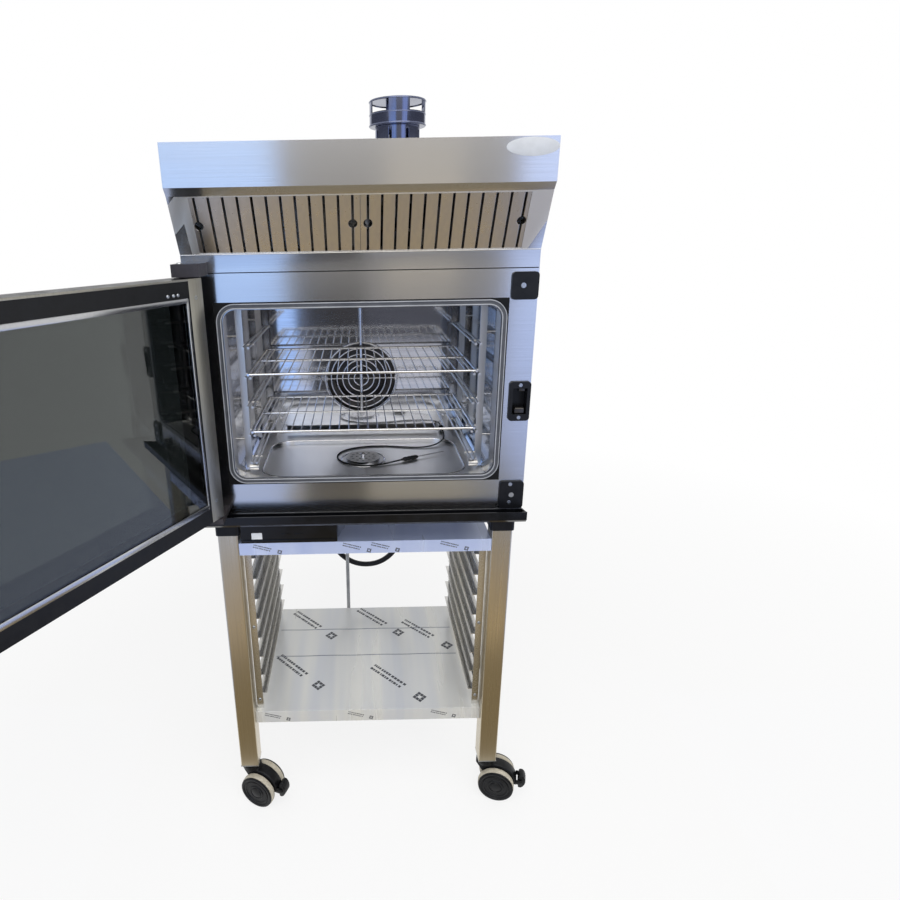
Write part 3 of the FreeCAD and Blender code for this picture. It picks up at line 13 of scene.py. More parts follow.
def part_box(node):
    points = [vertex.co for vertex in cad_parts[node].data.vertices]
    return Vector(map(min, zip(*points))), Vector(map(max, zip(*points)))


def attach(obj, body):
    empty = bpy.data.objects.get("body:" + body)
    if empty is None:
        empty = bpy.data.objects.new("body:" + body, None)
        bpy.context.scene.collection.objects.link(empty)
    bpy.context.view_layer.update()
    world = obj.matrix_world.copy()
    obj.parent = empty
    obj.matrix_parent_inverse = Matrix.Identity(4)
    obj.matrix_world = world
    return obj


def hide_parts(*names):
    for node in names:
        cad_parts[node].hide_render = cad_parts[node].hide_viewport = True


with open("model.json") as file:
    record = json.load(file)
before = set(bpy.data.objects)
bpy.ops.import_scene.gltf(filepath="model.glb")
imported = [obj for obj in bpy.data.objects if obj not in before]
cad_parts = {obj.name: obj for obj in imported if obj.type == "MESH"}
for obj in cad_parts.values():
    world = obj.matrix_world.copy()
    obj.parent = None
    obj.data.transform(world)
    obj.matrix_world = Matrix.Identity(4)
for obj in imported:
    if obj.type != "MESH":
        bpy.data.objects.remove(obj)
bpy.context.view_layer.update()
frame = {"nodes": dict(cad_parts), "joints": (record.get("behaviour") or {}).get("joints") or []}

log = logging.getLogger("combi_oven")

Point = Sequence[float]
Face = tuple[int, ...]
MM = 0.001
HERE = Matrix.Identity(4)
# Turns a flat outline on XY so that it stands on XZ and faces the front
UPRIGHT = Matrix.Rotation(math.radians(90), 4, "X")
FRONT = (0, -1, 0)
BACK = (0, 1, 0)
LEFT = (-1, 0, 0)
RIGHT = (1, 0, 0)
DOWN = (0, 0, -1)
UP = (0, 0, 1)
# Head radii of the sheets' screws and of the larger bolts
SCREW = 0.0045
BOLT = 0.006


def linear(code: str) -> tuple[float, float, float, float]:
    """Turns an sRGB hex colour to linear light.

    Args:
        code: The colour as "#rrggbb".

    Returns:
        Red, green, blue and a full alpha.
    """
    channels = [int(code[i:i + 2], 16) / 255 for i in (1, 3, 5)]
    red, green, blue = [c / 12.92 if c <= 0.04045 else ((c + 0.055) / 1.055) ** 2.4 for c in channels]
    return red, green, blue, 1.0


def per_metre(millimetres: float) -> float:
    """Gives the texture scale of a feature that is so many millimetres wide."""
    return 1000.0 / millimetres


def add_node(tree: bpy.types.NodeTree, kind: str, links: dict | None = None, values: dict | None = None,
             **settings: object) -> bpy.types.Node:
    """Adds one shader node.

    Args:
        tree: The material's or the world's node tree.
        kind: The node's type.
        links: Output sockets that feed the node, by input.
        values: Values to set, by input.
        settings: Properties of the node itself.

    Returns:
        The new node.
    """
    node = tree.nodes.new(kind)
    for name, value in settings.items():
        setattr(node, name, value)
    for socket, value in (values or {}).items():
        node.inputs[socket].default_value = value
    for socket, source in (links or {}).items():
        tree.links.new(source, node.inputs[socket])
    return node


class Grain(Enum):
    """How brush lines run: their axis, the axis that the gleam's direction goes round, and its turn."""

    ACROSS = (0, "Z", 0.25)
    DEEP = (1, "Y", 0.0)
    UPRIGHT = (2, "Z", 0.0)


@dataclass(frozen=True)
class Finish:
    """What every finish has: a real material's name, its slot, its colour and its gloss."""

    name: str
    slot: str
    colour: str
    roughness: float

    def constants(self) -> dict[str, object]:
        """Gives the shader values that are the same all over the surface."""
        return {}

    def pattern(self, tree: bpy.types.NodeTree, shader: bpy.types.Node) -> None:
        """Adds the nodes that vary the surface; a plain finish has none."""

    def vary(self, tree: bpy.types.NodeTree, shader: bpy.types.Node, source: bpy.types.NodeSocket,
             other: str, spread: float) -> None:
        """Lets one pattern run the colour to another one and the roughness up and down.

        Args:
            tree: The material's node tree.
            shader: Its surface shader.
            source: The pattern's value, which lies mostly between a third and two thirds.
            other: The colour at the pattern's high end.
            spread: How far the roughness goes up and down.
        """
        share = add_node(tree, "ShaderNodeMapRange", {"Value": source},
                         {"From Min": 0.33, "From Max": 0.67})
        tone = add_node(tree, "ShaderNodeMix", {"Factor": share.outputs["Result"]},
                        {"A": linear(self.colour), "B": linear(other)}, data_type="RGBA")
        rough = add_node(tree, "ShaderNodeMapRange", {"Value": share.outputs["Result"]},
                         {"To Min": self.roughness - spread, "To Max": self.roughness + spread})
        tree.links.new(tone.outputs["Result"], shader.inputs["Base Color"])
        tree.links.new(rough.outputs["Result"], shader.inputs["Roughness"])

    def emboss(self, tree: bpy.types.NodeTree, shader: bpy.types.Node, height: bpy.types.NodeSocket,
               depth: float, strength: float) -> None:
        """Raises a pattern as fine relief.

        Args:
            tree: The material's node tree.
            shader: Its surface shader.
            height: The pattern's value.
            depth: The relief's depth in metres.
            strength: How much of it shows.
        """
        bump = add_node(tree, "ShaderNodeBump", {"Height": height},
                        {"Strength": strength, "Distance": depth})
        tree.links.new(bump.outputs["Normal"], shader.inputs["Normal"])

    def material(self) -> bpy.types.Material:
        """Makes the finish's material the first time that it is asked for.

        Returns:
            The material.
        """
        found = bpy.data.materials.get(self.name)
        if found:
            return found
        made = bpy.data.materials.new(self.name)
        made.use_nodes = True
        shader = made.node_tree.nodes["Principled BSDF"]
        shader.inputs["Base Color"].default_value = linear(self.colour)
        shader.inputs["Roughness"].default_value = self.roughness
        for socket, value in self.constants().items():
            shader.inputs[socket].default_value = value
        self.pattern(made.node_tree, shader)
        return made


@dataclass(frozen=True)
class BrushedSteel(Finish):
    """Stainless sheet, brushed or drawn one way: faint long streaks and a gleam stretched across them."""

    dark: str = "#8f8d89"
    grain: Grain = Grain.ACROSS
    # Real brush lines are under 0.3 mm; they are drawn wider so that they show
    line_mm: float = 1.6
    run_mm: float = 260.0
    smear_mm: float = 180.0
    smear_share: float = 0.4
    spread: float = 0.05
    relief: float = 0.12
    relief_depth: float = 0.2 * MM
    stretch: float = 0.0

    def constants(self) -> dict[str, object]:
        """Makes the sheet a metal whose gleam is stretched across its lines."""
        return {"Metallic": 1.0, "Anisotropic": self.stretch, "Anisotropic Rotation": self.grain.value[2]}

    def pattern(self, tree: bpy.types.NodeTree, shader: bpy.types.Node) -> None:
        """Draws the brush lines, and wide smears where cloths have been.

        Args:
            tree: The material's node tree.
            shader: Its surface shader.
        """
        where = add_node(tree, "ShaderNodeTexCoord").outputs["Object"]
        scale = [per_metre(self.line_mm)] * 3
        scale[self.grain.value[0]] = per_metre(self.run_mm)
        stretched = add_node(tree, "ShaderNodeMapping", {"Vector": where}, {"Scale": scale})
        lines = add_node(tree, "ShaderNodeTexNoise", {"Vector": stretched.outputs["Vector"]},
                         {"Scale": 1.0, "Detail": 3.0, "Roughness": 0.6}).outputs["Fac"]
        smears = add_node(tree, "ShaderNodeTexNoise", {"Vector": where},
                          {"Scale": per_metre(self.smear_mm), "Detail": 2.0}).outputs["Fac"]
        both = add_node(tree, "ShaderNodeMix", {"A": lines, "B": smears}, {"Factor": self.smear_share})
        self.vary(tree, shader, both.outputs["Result"], self.dark, self.spread)
        self.emboss(tree, shader, lines, self.relief_depth, self.relief)
        if self.stretch:
            tangent = add_node(tree, "ShaderNodeTangent", direction_type="RADIAL", axis=self.grain.value[1])
            tree.links.new(tangent.outputs["Tangent"], shader.inputs["Tangent"])


@dataclass(frozen=True)
class FilmedSteel(BrushedSteel):
    """Stainless sheet still under its clear plastic film: pale, glossy and softly puckered."""

    pucker_mm: float = 42.0
    band_mm: float = 55.0
    band_run_mm: float = 900.0

    def constants(self) -> dict[str, object]:
        """Lays the clear film over the metal."""
        return {"Metallic": 0.25, "Coat Weight": 0.5, "Coat Roughness": 0.15, "Coat IOR": 1.5}

    def pattern(self, tree: bpy.types.NodeTree, shader: bpy.types.Node) -> None:
        """Draws the film's long soft bands and its shallow puckers.

        Args:
            tree: The material's node tree.
            shader: Its surface shader.
        """
        where = add_node(tree, "ShaderNodeTexCoord").outputs["Object"]
        run = per_metre(self.band_run_mm)
        stretched = add_node(tree, "ShaderNodeMapping", {"Vector": where},
                             {"Scale": (per_metre(self.band_mm), run, run)})
        bands = add_node(tree, "ShaderNodeTexNoise", {"Vector": stretched.outputs["Vector"]},
                         {"Scale": 1.0, "Detail": 2.0})
        self.vary(tree, shader, bands.outputs["Fac"], self.dark, self.spread)
        puckers = add_node(tree, "ShaderNodeTexNoise", {"Vector": where},
                           {"Scale": per_metre(self.pucker_mm), "Detail": 3.0, "Distortion": 1.2})
        bump = add_node(tree, "ShaderNodeBump", {"Height": puckers.outputs["Fac"]},
                        {"Strength": 0.25, "Distance": 1.2 * MM})
        tree.links.new(bump.outputs["Normal"], shader.inputs["Coat Normal"])


@dataclass(frozen=True)
class FacedSteel(BrushedSteel):
    """Steel sheet that is duller and paler on the faces that look up, or down, than on its walls; the paler
    colour is painted light.
    """

    # The paler colour painted on those faces: painted light
    pale: str = "#f0f0f1"
    dulling: float = 0.22
    height: float = 1.0
    reach: float = 0.3

    def pattern(self, tree: bpy.types.NodeTree, shader: bpy.types.Node) -> None:
        """Dulls the faces whose normal's height is within reach of the given one and paints them paler,
        which is painted light.

        Args:
            tree: The material's node tree.
            shader: Its surface shader.
        """
        super().pattern(tree, shader)
        sheet = {name: shader.inputs[name].links[0].from_socket for name in ("Base Color", "Roughness")}
        normal = add_node(tree, "ShaderNodeNewGeometry").outputs["Normal"]
        rise = add_node(tree, "ShaderNodeSeparateXYZ", {"Vector": normal}).outputs["Z"]
        share = add_node(tree, "ShaderNodeMath", {0: rise}, {1: self.height, 2: self.reach},
                         operation="COMPARE").outputs["Value"]
        dull = add_node(tree, "ShaderNodeMath", {0: share, 2: sheet["Roughness"]}, {1: self.dulling},
                        operation="MULTIPLY_ADD")
        # Painted light: the faces within reach take the paler colour
        tone = add_node(tree, "ShaderNodeMix", {"Factor": share, "A": sheet["Base Color"]},
                        {"B": linear(self.pale)}, data_type="RGBA")
        tree.links.new(dull.outputs["Value"], shader.inputs["Roughness"])
        tree.links.new(tone.outputs["Result"], shader.inputs["Base Color"])


@dataclass(frozen=True)
class Moulded(Finish):
    """Moulded plastic or rubber, paint or print: a fine matt texture, with worn patches of another shade."""

    worn: str = "#2a2b2d"
    grit_mm: float = 0.9
    patch_mm: float = 35.0
    spread: float = 0.07
    relief: float = 0.15
    relief_depth: float = 0.3 * MM
    specular: float = 0.5

    def constants(self) -> dict[str, object]:
        """Sets how strongly the surface gleams."""
        return {"Specular IOR Level": self.specular}

    def pattern(self, tree: bpy.types.NodeTree, shader: bpy.types.Node) -> None:
        """Draws the tool's spark texture and the worn patches.

        Args:
            tree: The material's node tree.
            shader: Its surface shader.
        """
        where = add_node(tree, "ShaderNodeTexCoord").outputs["Object"]
        patches = add_node(tree, "ShaderNodeTexNoise", {"Vector": where},
                           {"Scale": per_metre(self.patch_mm), "Detail": 4.0, "Roughness": 0.65})
        grit = add_node(tree, "ShaderNodeTexNoise", {"Vector": where},
                        {"Scale": per_metre(self.grit_mm), "Detail": 2.0})
        self.vary(tree, shader, patches.outputs["Fac"], self.worn, self.spread)
        self.emboss(tree, shader, grit.outputs["Fac"], self.relief_depth, self.relief)


@dataclass(frozen=True)
class PaneGlass(Finish):
    """Float glass, clear or tinted: mirror-smooth, with faint wiping marks."""

    mark_mm: float = 60.0
    mark_dulling: float = 0.012

    def constants(self) -> dict[str, object]:
        """Lets light through."""
        return {"Transmission Weight": 1.0, "IOR": 1.52}

    def pattern(self, tree: bpy.types.NodeTree, shader: bpy.types.Node) -> None:
        """Draws the wiping marks as slightly less smooth streaks.

        Args:
            tree: The material's node tree.
            shader: Its surface shader.
        """
        where = add_node(tree, "ShaderNodeTexCoord").outputs["Object"]
        marks = add_node(tree, "ShaderNodeTexNoise", {"Vector": where},
                         {"Scale": per_metre(self.mark_mm), "Detail": 3.0, "Distortion": 2.0})
        rough = add_node(tree, "ShaderNodeMapRange", {"Value": marks.outputs["Fac"]},
                         {"From Min": 0.4, "From Max": 0.7, "To Min": self.roughness,
                          "To Max": self.roughness + self.mark_dulling})
        tree.links.new(rough.outputs["Result"], shader.inputs["Roughness"])


# Cold-rolled 304 sheet, brushed: a cool grey that mirrors sharply along its lines and softly across them
CASING = BrushedSteel("brushed_stainless_casing", "casing_steel", "#cdcdcd", 0.18, dark="#c3c3c3",
                      spread=0.02, relief=0.03, stretch=0.85)
CASING_UPRIGHT = replace(CASING, name="brushed_stainless_upright", colour="#cbcbcb", roughness=0.2,
                         dark="#c0c0c0", grain=Grain.UPRIGHT)
CASING_DEEP = replace(CASING_UPRIGHT, name="brushed_stainless_roof", grain=Grain.DEEP)
# The hood's sheet, scrubbed dull where it slopes to the filters; the warm pale colour there is painted light
HOOD = FacedSteel("brushed_stainless_hood", "casing_steel", "#cdcdcd", 0.18, dark="#c3c3c3", spread=0.02,
                  relief=0.03, stretch=0.85, pale="#e2ddd2", dulling=0.3, height=-0.46, reach=0.12)
# The door's stiles are the same sheet, duller: an olive grey
STILE = BrushedSteel("dulled_stainless_stile", "casing_steel", "#aeaba0", 0.34, dark="#98958b",
                     grain=Grain.UPRIGHT, relief=0.05, stretch=0.6)
# Pressed filter sheet, dulled by handling; its warmer grey is a painted reflection of a brown floor
FILTER = BrushedSteel("pressed_stainless_filter", "casing_steel", "#c9c4bb", 0.3, dark="#bfb9af",
                      grain=Grain.UPRIGHT, line_mm=9.0, run_mm=300.0, relief=0.0)
# Brushed square tube: a warm grey, with its lines along the leg; the warmth is a painted reflection of a
# brown floor
LEGS = BrushedSteel("brushed_stainless_tube", "stand_steel", "#d3cab6", 0.3, dark="#c3b9a3",
                    grain=Grain.UPRIGHT, line_mm=1.8, relief=0.06, stretch=0.6)
# Folded runners: a cooler grey, with their lines from front to back
RUNNERS = BrushedSteel("folded_stainless_runner", "stand_steel", "#d4d3d0", 0.27, dark="#bfbebb",
                       grain=Grain.DEEP, relief=0.06)
# Sheet still under its clear film: pale, with soft puckers; the top sheet's bluer colour is a painted
# reflection
FILMED = FilmedSteel("filmed_stainless_shelf", "filmed_steel", "#e0dfd7", 0.3, dark="#cfd1d3")
FILMED_TOP = FilmedSteel("filmed_stainless_top", "filmed_steel", "#c4d0ee", 0.3, dark="#b4c2e6")
# Folds of the film: a darker line where they shade themselves
CREASE = FilmedSteel("creased_film", "filmed_steel", "#6f7581", 0.35, dark="#5d636f")
# Bright-annealed cavity sheet: close to a mirror, blurred a little by rolling and steam; the faces that look
# up are duller and painted paler, as painted light
CAVITY = FacedSteel("bright_rolled_cavity_steel", "cavity_steel", "#c6c7ca", 0.12, dark="#b8b9bd",
                    grain=Grain.DEEP, line_mm=3.0, spread=0.03, relief=0.03, smear_mm=90.0)
# The baffle is the same sheet, smoother: the brightest mirror of the inside
BAFFLE = BrushedSteel("bright_rolled_baffle_steel", "cavity_steel", "#d8dadf", 0.08, dark="#c6c8ce",
                      grain=Grain.ACROSS, line_mm=3.0, spread=0.02, relief=0.02, smear_mm=90.0)
# Fan wheel browned by heat: dark and dull; the darkness is also painted shade, so that the gaps of the
# grille look black
FAN = BrushedSteel("heat_dulled_fan_steel", "cavity_steel", "#5d5a57", 0.4, dark="#413f3d", smear_mm=30.0)
# Ladder strip, brushed: paler and softer than the wire
LADDER = BrushedSteel("brushed_ladder_strip", "bright_wire", "#d9d7d3", 0.32, dark="#cac8c4",
                      grain=Grain.UPRIGHT, relief=0.04)
# Drawn and electropolished wire: bright, with faint lengthwise die marks
WIRE = BrushedSteel("electropolished_wire", "bright_wire", "#e2e2e3", 0.15, dark="#cfcfd1", grain=Grain.DEEP,
                    line_mm=1.2, run_mm=40.0, spread=0.03, relief=0.04)
# Sheathed heater tube: dark, dulled by heat
HEATER = BrushedSteel("oxidised_heater_tube", "heater_steel", "#5f5850", 0.5, dark="#3f3a36", smear_mm=25.0)
# Plated and turned small parts: a soft grey gleam
ZINC = BrushedSteel("zinc_plated_steel", "caster_steel", "#c3c6c9", 0.3, dark="#a5a9ad", smear_mm=14.0,
                    line_mm=2.5, run_mm=9.0)
LATCH = BrushedSteel("turned_latch_steel", "latch_steel", "#cfd0d1", 0.22, dark="#b4b5b7", line_mm=1.5)
MOTOR = BrushedSteel("galvanised_motor_can", "motor_metal", "#8d9092", 0.42, dark="#75787b", smear_mm=20.0,
                     line_mm=6.0, run_mm=6.0)
# Turned brass: a warm yellow with fine tool lines
BRASS = BrushedSteel("turned_brass", "fitting_brass", "#c9a35c", 0.28, dark="#ad8643", line_mm=1.0,
                     run_mm=20.0)
# Glass-filled nylon and ABS, moulded: black, satin, a little greyer where it is handled
PLASTIC = Moulded("moulded_black_abs", "black_plastic", "#0f1013", 0.36, worn="#17181b", specular=0.22)
TRAY_PLASTIC = Moulded("moulded_black_tray", "black_plastic", "#0b0c0f", 0.2, worn="#121317", relief=0.05,
                       specular=0.3)
CASTER_PLASTIC = Moulded("moulded_black_nylon", "caster_plastic", "#0e0f11", 0.36, worn="#191a1c",
                         specular=0.22)
# Cast rubber: matt, cream where it rolls
TREAD = Moulded("cast_pale_tread_rubber", "tread_rubber", "#cfc8b6", 0.62, worn="#b5ad9b", patch_mm=12.0)
# Flue drawn from steel sheet and blackened: a dark mirror, blue where it faces the windows; its blue-grey
# base colour is a painted reflection of the windows
FLUE = BrushedSteel("blackened_polished_flue", "black_metal", "#787e96", 0.14, dark="#666c84",
                    grain=Grain.UPRIGHT, spread=0.03, relief=0.02, smear_mm=40.0)
# Powder coat on steel: a dark brownish grey, finely pebbled
HINGE_PAINT = Moulded("powder_coated_hinge", "black_metal", "#2c292b", 0.42, worn="#383437", grit_mm=1.4,
                      specular=0.3)
# Silicone: a dark satin body between two lips painted paler as painted highlights
SILICONE = Moulded("moulded_dark_silicone", "gasket_rubber", "#55575c", 0.4, worn="#46484d", patch_mm=60.0,
                   specular=0.3)
LIP_HIGHLIGHT_SILICONE = Moulded("silicone_lip_painted_highlight", "gasket_rubber", "#a9acb1", 0.4, worn="#96999f",
                       patch_mm=60.0)
# Black silicone and hose rubber: dull, nearly without a gleam
SEAT_RUBBER = Moulded("moulded_black_silicone", "gasket_rubber", "#0b0c0d", 0.6, worn="#121314",
                      specular=0.2)
HOSE = Moulded("extruded_black_epdm", "hose_rubber", "#0e0e10", 0.5, worn="#17171a", grit_mm=1.6,
               specular=0.3)
# Bonded fibre: dull yellow and crumbly
WOOL = Moulded("bonded_mineral_wool", "mineral_wool", "#b7a676", 0.95, worn="#8f7f55", grit_mm=4.0,
               patch_mm=12.0, relief=0.8, specular=0.1)
# Turned acetal and extruded PVC: plain greys with a satin gleam
ACETAL = Moulded("turned_grey_acetal", "black_plastic", "#8d8f93", 0.3, worn="#77797d")
PIPE = Moulded("extruded_grey_pvc", "drain_plastic", "#a2a4a5", 0.35, worn="#8f9192", grit_mm=2.0)
# Coated paper and foil: pale and smooth
LABEL = Moulded("blank_paper_label", "black_plastic", "#e6e8ea", 0.5, worn="#dadcdf", grit_mm=0.7,
                relief=0.05)
STICKER = Moulded("blank_foil_sticker", "casing_steel", "#bfc2c6", 0.4, worn="#b4b7bb", grit_mm=0.7,
                  relief=0.05)
# Ink on film: dark grey, thin in places
INK = Moulded("printed_film_ink", "filmed_steel", "#2f3136", 0.5, worn="#4a4c52", patch_mm=6.0)
# Float glass: clear inside, near-black tint outside
CLEAR_GLASS = PaneGlass("clear_float_glass", "clear_glass", "#d3dad7", 0.004)
TINTED_GLASS = PaneGlass("tinted_float_glass", "tinted_glass", "#1a1d1e", 0.004)


class Shape:
    """Collects the faces of one mesh piece."""

    def __init__(self) -> None:
        """Starts with no points and no faces."""
        self.points: list[Vector] = []
        self.faces: list[Face] = []

    def add(self, points: Iterable[Point], faces: Iterable[Sequence[int]], place: Matrix = HERE) -> None:
        """Adds points and faces at a place.

        Args:
            points: The points, in the part's own frame.
            faces: Faces, as numbers of those points.
            place: Where the part goes.
        """
        start = len(self.points)
        self.points += [place @ Vector(point) for point in points]
        self.faces += [tuple(start + i for i in face) for face in faces]

    def rings(self, rings: Sequence[Sequence[Point]], place: Matrix = HERE, looped: bool = False) -> None:
        """Skins a row of closed rings that have as many points each.

        Args:
            rings: The rings, from one end to the other.
            place: Where the part goes.
            looped: Whether the last ring joins the first one; otherwise the ends are closed.
        """
        count, size = len(rings), len(rings[0])
        faces: list[Sequence[int]] = []
        for i in range(count if looped else count - 1):
            near, far = i * size, (i + 1) % count * size
            for j in range(size):
                k = (j + 1) % size
                faces.append((near + j, near + k, far + k, far + j))
        if not looped:
            faces.append(tuple(reversed(range(size))))
            faces.append(tuple(range((count - 1) * size, count * size)))
        self.add([point for ring in rings for point in ring], faces, place)

    def turned(self, profile: Sequence[Point], place: Matrix = HERE, sides: int = 48,
               looped: bool = False, flats: int = 0) -> None:
        """Turns an outline about the Z axis.

        Args:
            profile: Radius and height of each corner; a solid one begins and ends near radius 0.
            place: Where the part goes.
            sides: How many steps the turn has.
            looped: Whether the outline closes on itself, as a tyre's does.
            flats: Flats of a nut or hex head; 0 for a round part.
        """
        rings = []
        for radius, height in profile:
            ring = []
            for i in range(sides):
                turn = 2 * math.pi * i / sides
                reach = max(radius, 1e-5)
                if flats:
                    wedge = math.pi / flats
                    reach *= math.cos(wedge) / math.cos((turn % (2 * wedge)) - wedge)
                ring.append((reach * math.cos(turn), reach * math.sin(turn), height))
            rings.append(ring)
        self.rings(rings, place, looped)

    def plate(self, outline: Sequence[Point], low: float, high: float, place: Matrix = HERE,
              edge: float = 0.0, steps: int = 2) -> None:
        """Raises an outline on XY from one height to another, with rounded edges.

        Args:
            outline: Corners, anticlockwise.
            low: The lower height.
            high: The upper height.
            place: Where the part goes.
            edge: The rounding radius.
            steps: Steps of the rounding.
        """
        work = bmesh.new()
        bottom = work.faces.new([work.verts.new((x, y, low)) for x, y in outline])
        raised = bmesh.ops.extrude_face_region(work, geom=[bottom])
        top = [item for item in raised["geom"] if isinstance(item, bmesh.types.BMVert)]
        bmesh.ops.translate(work, verts=top, vec=(0, 0, high - low))
        bmesh.ops.recalc_face_normals(work, faces=work.faces)
        if edge:
            sharp = [e for e in work.edges if e.calc_face_angle(0.0) > math.radians(40)]
            bmesh.ops.bevel(work, geom=sharp, offset=edge, segments=steps, profile=0.5, affect="EDGES",
                            clamp_overlap=True)
        work.verts.index_update()
        self.add([vert.co.copy() for vert in work.verts],
                 [[vert.index for vert in face.verts] for face in work.faces], place)
        work.free()

    def block(self, low: Point, high: Point, place: Matrix = HERE, edge: float = 0.001,
              steps: int = 2) -> None:
        """Adds a box between two corners, with rounded edges.

        Args:
            low: The lowest corner.
            high: The highest corner.
            place: Where the part goes.
            edge: The rounding radius.
            steps: Steps of the rounding.
        """
        outline = [(low[0], low[1]), (high[0], low[1]), (high[0], high[1]), (low[0], high[1])]
        self.plate(outline, low[2], high[2], place, edge, steps)

    def swept(self, section: Sequence[Point], path: Sequence[tuple[Vector, Vector]], lift: Vector) -> None:
        """Sweeps a section round a closed path.

        Args:
            section: Distance outwards and along the lift of each corner.
            path: Points of the path with their outward directions.
            lift: The section's second axis.
        """
        self.rings([[spot + out * u + lift * v for u, v in section] for spot, out in path], looped=True)

    def screw(self, spot: Point, toward: Point, radius: float, height: float = 0.0) -> None:
        """Adds a button-head screw with a hex recess.

        Args:
            spot: Where its head sits.
            toward: The way that the head faces.
            radius: The head's radius.
            height: The head's height; by itself about half the radius.
        """
        rise = height or radius * 0.5
        place = facing(spot, toward)
        dome = [(0.0, 0.0), (radius * 0.94, 0.0), (radius, rise * 0.2), (radius * 0.9, rise * 0.62),
                (radius * 0.68, rise * 0.92), (radius * 0.5, rise)]
        socket = [(radius * 0.46, rise * 0.96), (radius * 0.42, rise * 0.45), (0.0, rise * 0.4)]
        self.turned(dome + socket, place, sides=24)

    def piece(self, name: str, finish: Finish, body: str, replaces: Sequence[str] = (),
              smooth: float = 38.0) -> bpy.types.Object:
        """Makes the mesh piece and hangs it on its body.

        Args:
            name: The piece's name.
            finish: Its finish.
            body: The body that it rides on.
            replaces: CAD nodes that it stands for.
            smooth: Edges flatter than this many degrees shade smoothly.

        Returns:
            The new object.
        """
        mesh = bpy.data.meshes.new(name)
        mesh.from_pydata(self.points, [], self.faces)
        work = bmesh.new()
        work.from_mesh(mesh)
        bmesh.ops.recalc_face_normals(work, faces=work.faces)
        work.to_mesh(mesh)
        work.free()
        mesh.shade_smooth()
        mesh.set_sharp_from_angle(angle=math.radians(smooth))
        obj = bpy.data.objects.new(name, mesh)
        return settle(obj, finish, body, replaces)


def settle(obj: bpy.types.Object, finish: Finish, body: str,
           replaces: Sequence[str] = ()) -> bpy.types.Object:
    """Gives a new piece its finish, its body and the nodes that it stands for.

    Args:
        obj: The piece.
        finish: Its finish.
        body: The body that it rides on.
        replaces: CAD nodes that it stands for.

    Returns:
        The same piece.
    """
    bpy.context.scene.collection.objects.link(obj)
    obj.data.materials.append(finish.material())
    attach(obj, body)
    if replaces:
        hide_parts(*replaces)
    log.info("piece %s on %s", obj.name, body)
    return obj


def dress(finish: Finish, *nodes: str, edge: float = 0.0) -> None:
    """Gives CAD nodes a finish and, where they are folded or cut sheet, softly broken edges.

    Args:
        finish: The finish.
        nodes: The nodes.
        edge: The radius of the broken edges.
    """
    for node in nodes:
        obj = frame["nodes"][node]
        for slot in obj.material_slots:
            slot.material = finish.material()
        if edge:
            weld = obj.modifiers.new("weld", "WELD")
            weld.merge_threshold = 0.01 * MM
            bevel = obj.modifiers.new("broken_edges", "BEVEL")
            bevel.width = edge
            bevel.segments = 2
            bevel.limit_method = "ANGLE"
            bevel.angle_limit = math.radians(35)
            obj.modifiers.new("even_shading", "WEIGHTED_NORMAL")
        log.info("dressed %s", node)


def facing(spot: Point, toward: Point) -> Matrix:
    """Gives the place whose Z axis points a given way."""
    return Matrix.Translation(spot) @ Vector(toward).to_track_quat("Z", "Y").to_matrix().to_4x4()


def rounded_loop(low: Point, high: Point, radius: float, steps: int = 8) -> list[tuple[Vector, Vector]]:
    """Gives the points and outward directions round a rectangle with round corners.

    Args:
        low: Its lowest corner on the plane.
        high: Its highest corner on the plane.
        radius: The corners' radius.
        steps: Steps of each corner.

    Returns:
        Pairs of point and direction, on XY.
    """
    loop = []
    corners = [(high[0], high[1], 0), (low[0], high[1], 90), (low[0], low[1], 180), (high[0], low[1], 270)]
    for x, y, start in corners:
        centre = Vector((x - math.copysign(radius, x - (low[0] + high[0]) / 2),
                         y - math.copysign(radius, y - (low[1] + high[1]) / 2), 0))
        for i in range(steps + 1):
            turn = math.radians(start + 90 * i / steps)
            out = Vector((math.cos(turn), math.sin(turn), 0))
            loop.append((centre + out * radius, out))
    return loop


def both_halves(lower: Sequence[Point]) -> list[Point]:
    """Gives a profile whose upper half mirrors its lower one."""
    return [*lower, *((u, -v) for u, v in reversed(lower))]


def oval(middle: Point, radii: Point, count: int) -> list[tuple[float, float]]:
    """Gives the points round a circle or an ellipse on a plane.

    Args:
        middle: Its middle.
        radii: Its half width and its half height.
        count: How many points it has.

    Returns:
        The points, anticlockwise.
    """
    turns = [2 * math.pi * i / count for i in range(count)]
    return [(middle[0] + radii[0] * math.cos(turn), middle[1] + radii[1] * math.sin(turn)) for turn in turns]


def joint(name: str) -> dict:
    """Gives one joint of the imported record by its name."""
    return next(found for found in frame["joints"] if found["name"] == name)


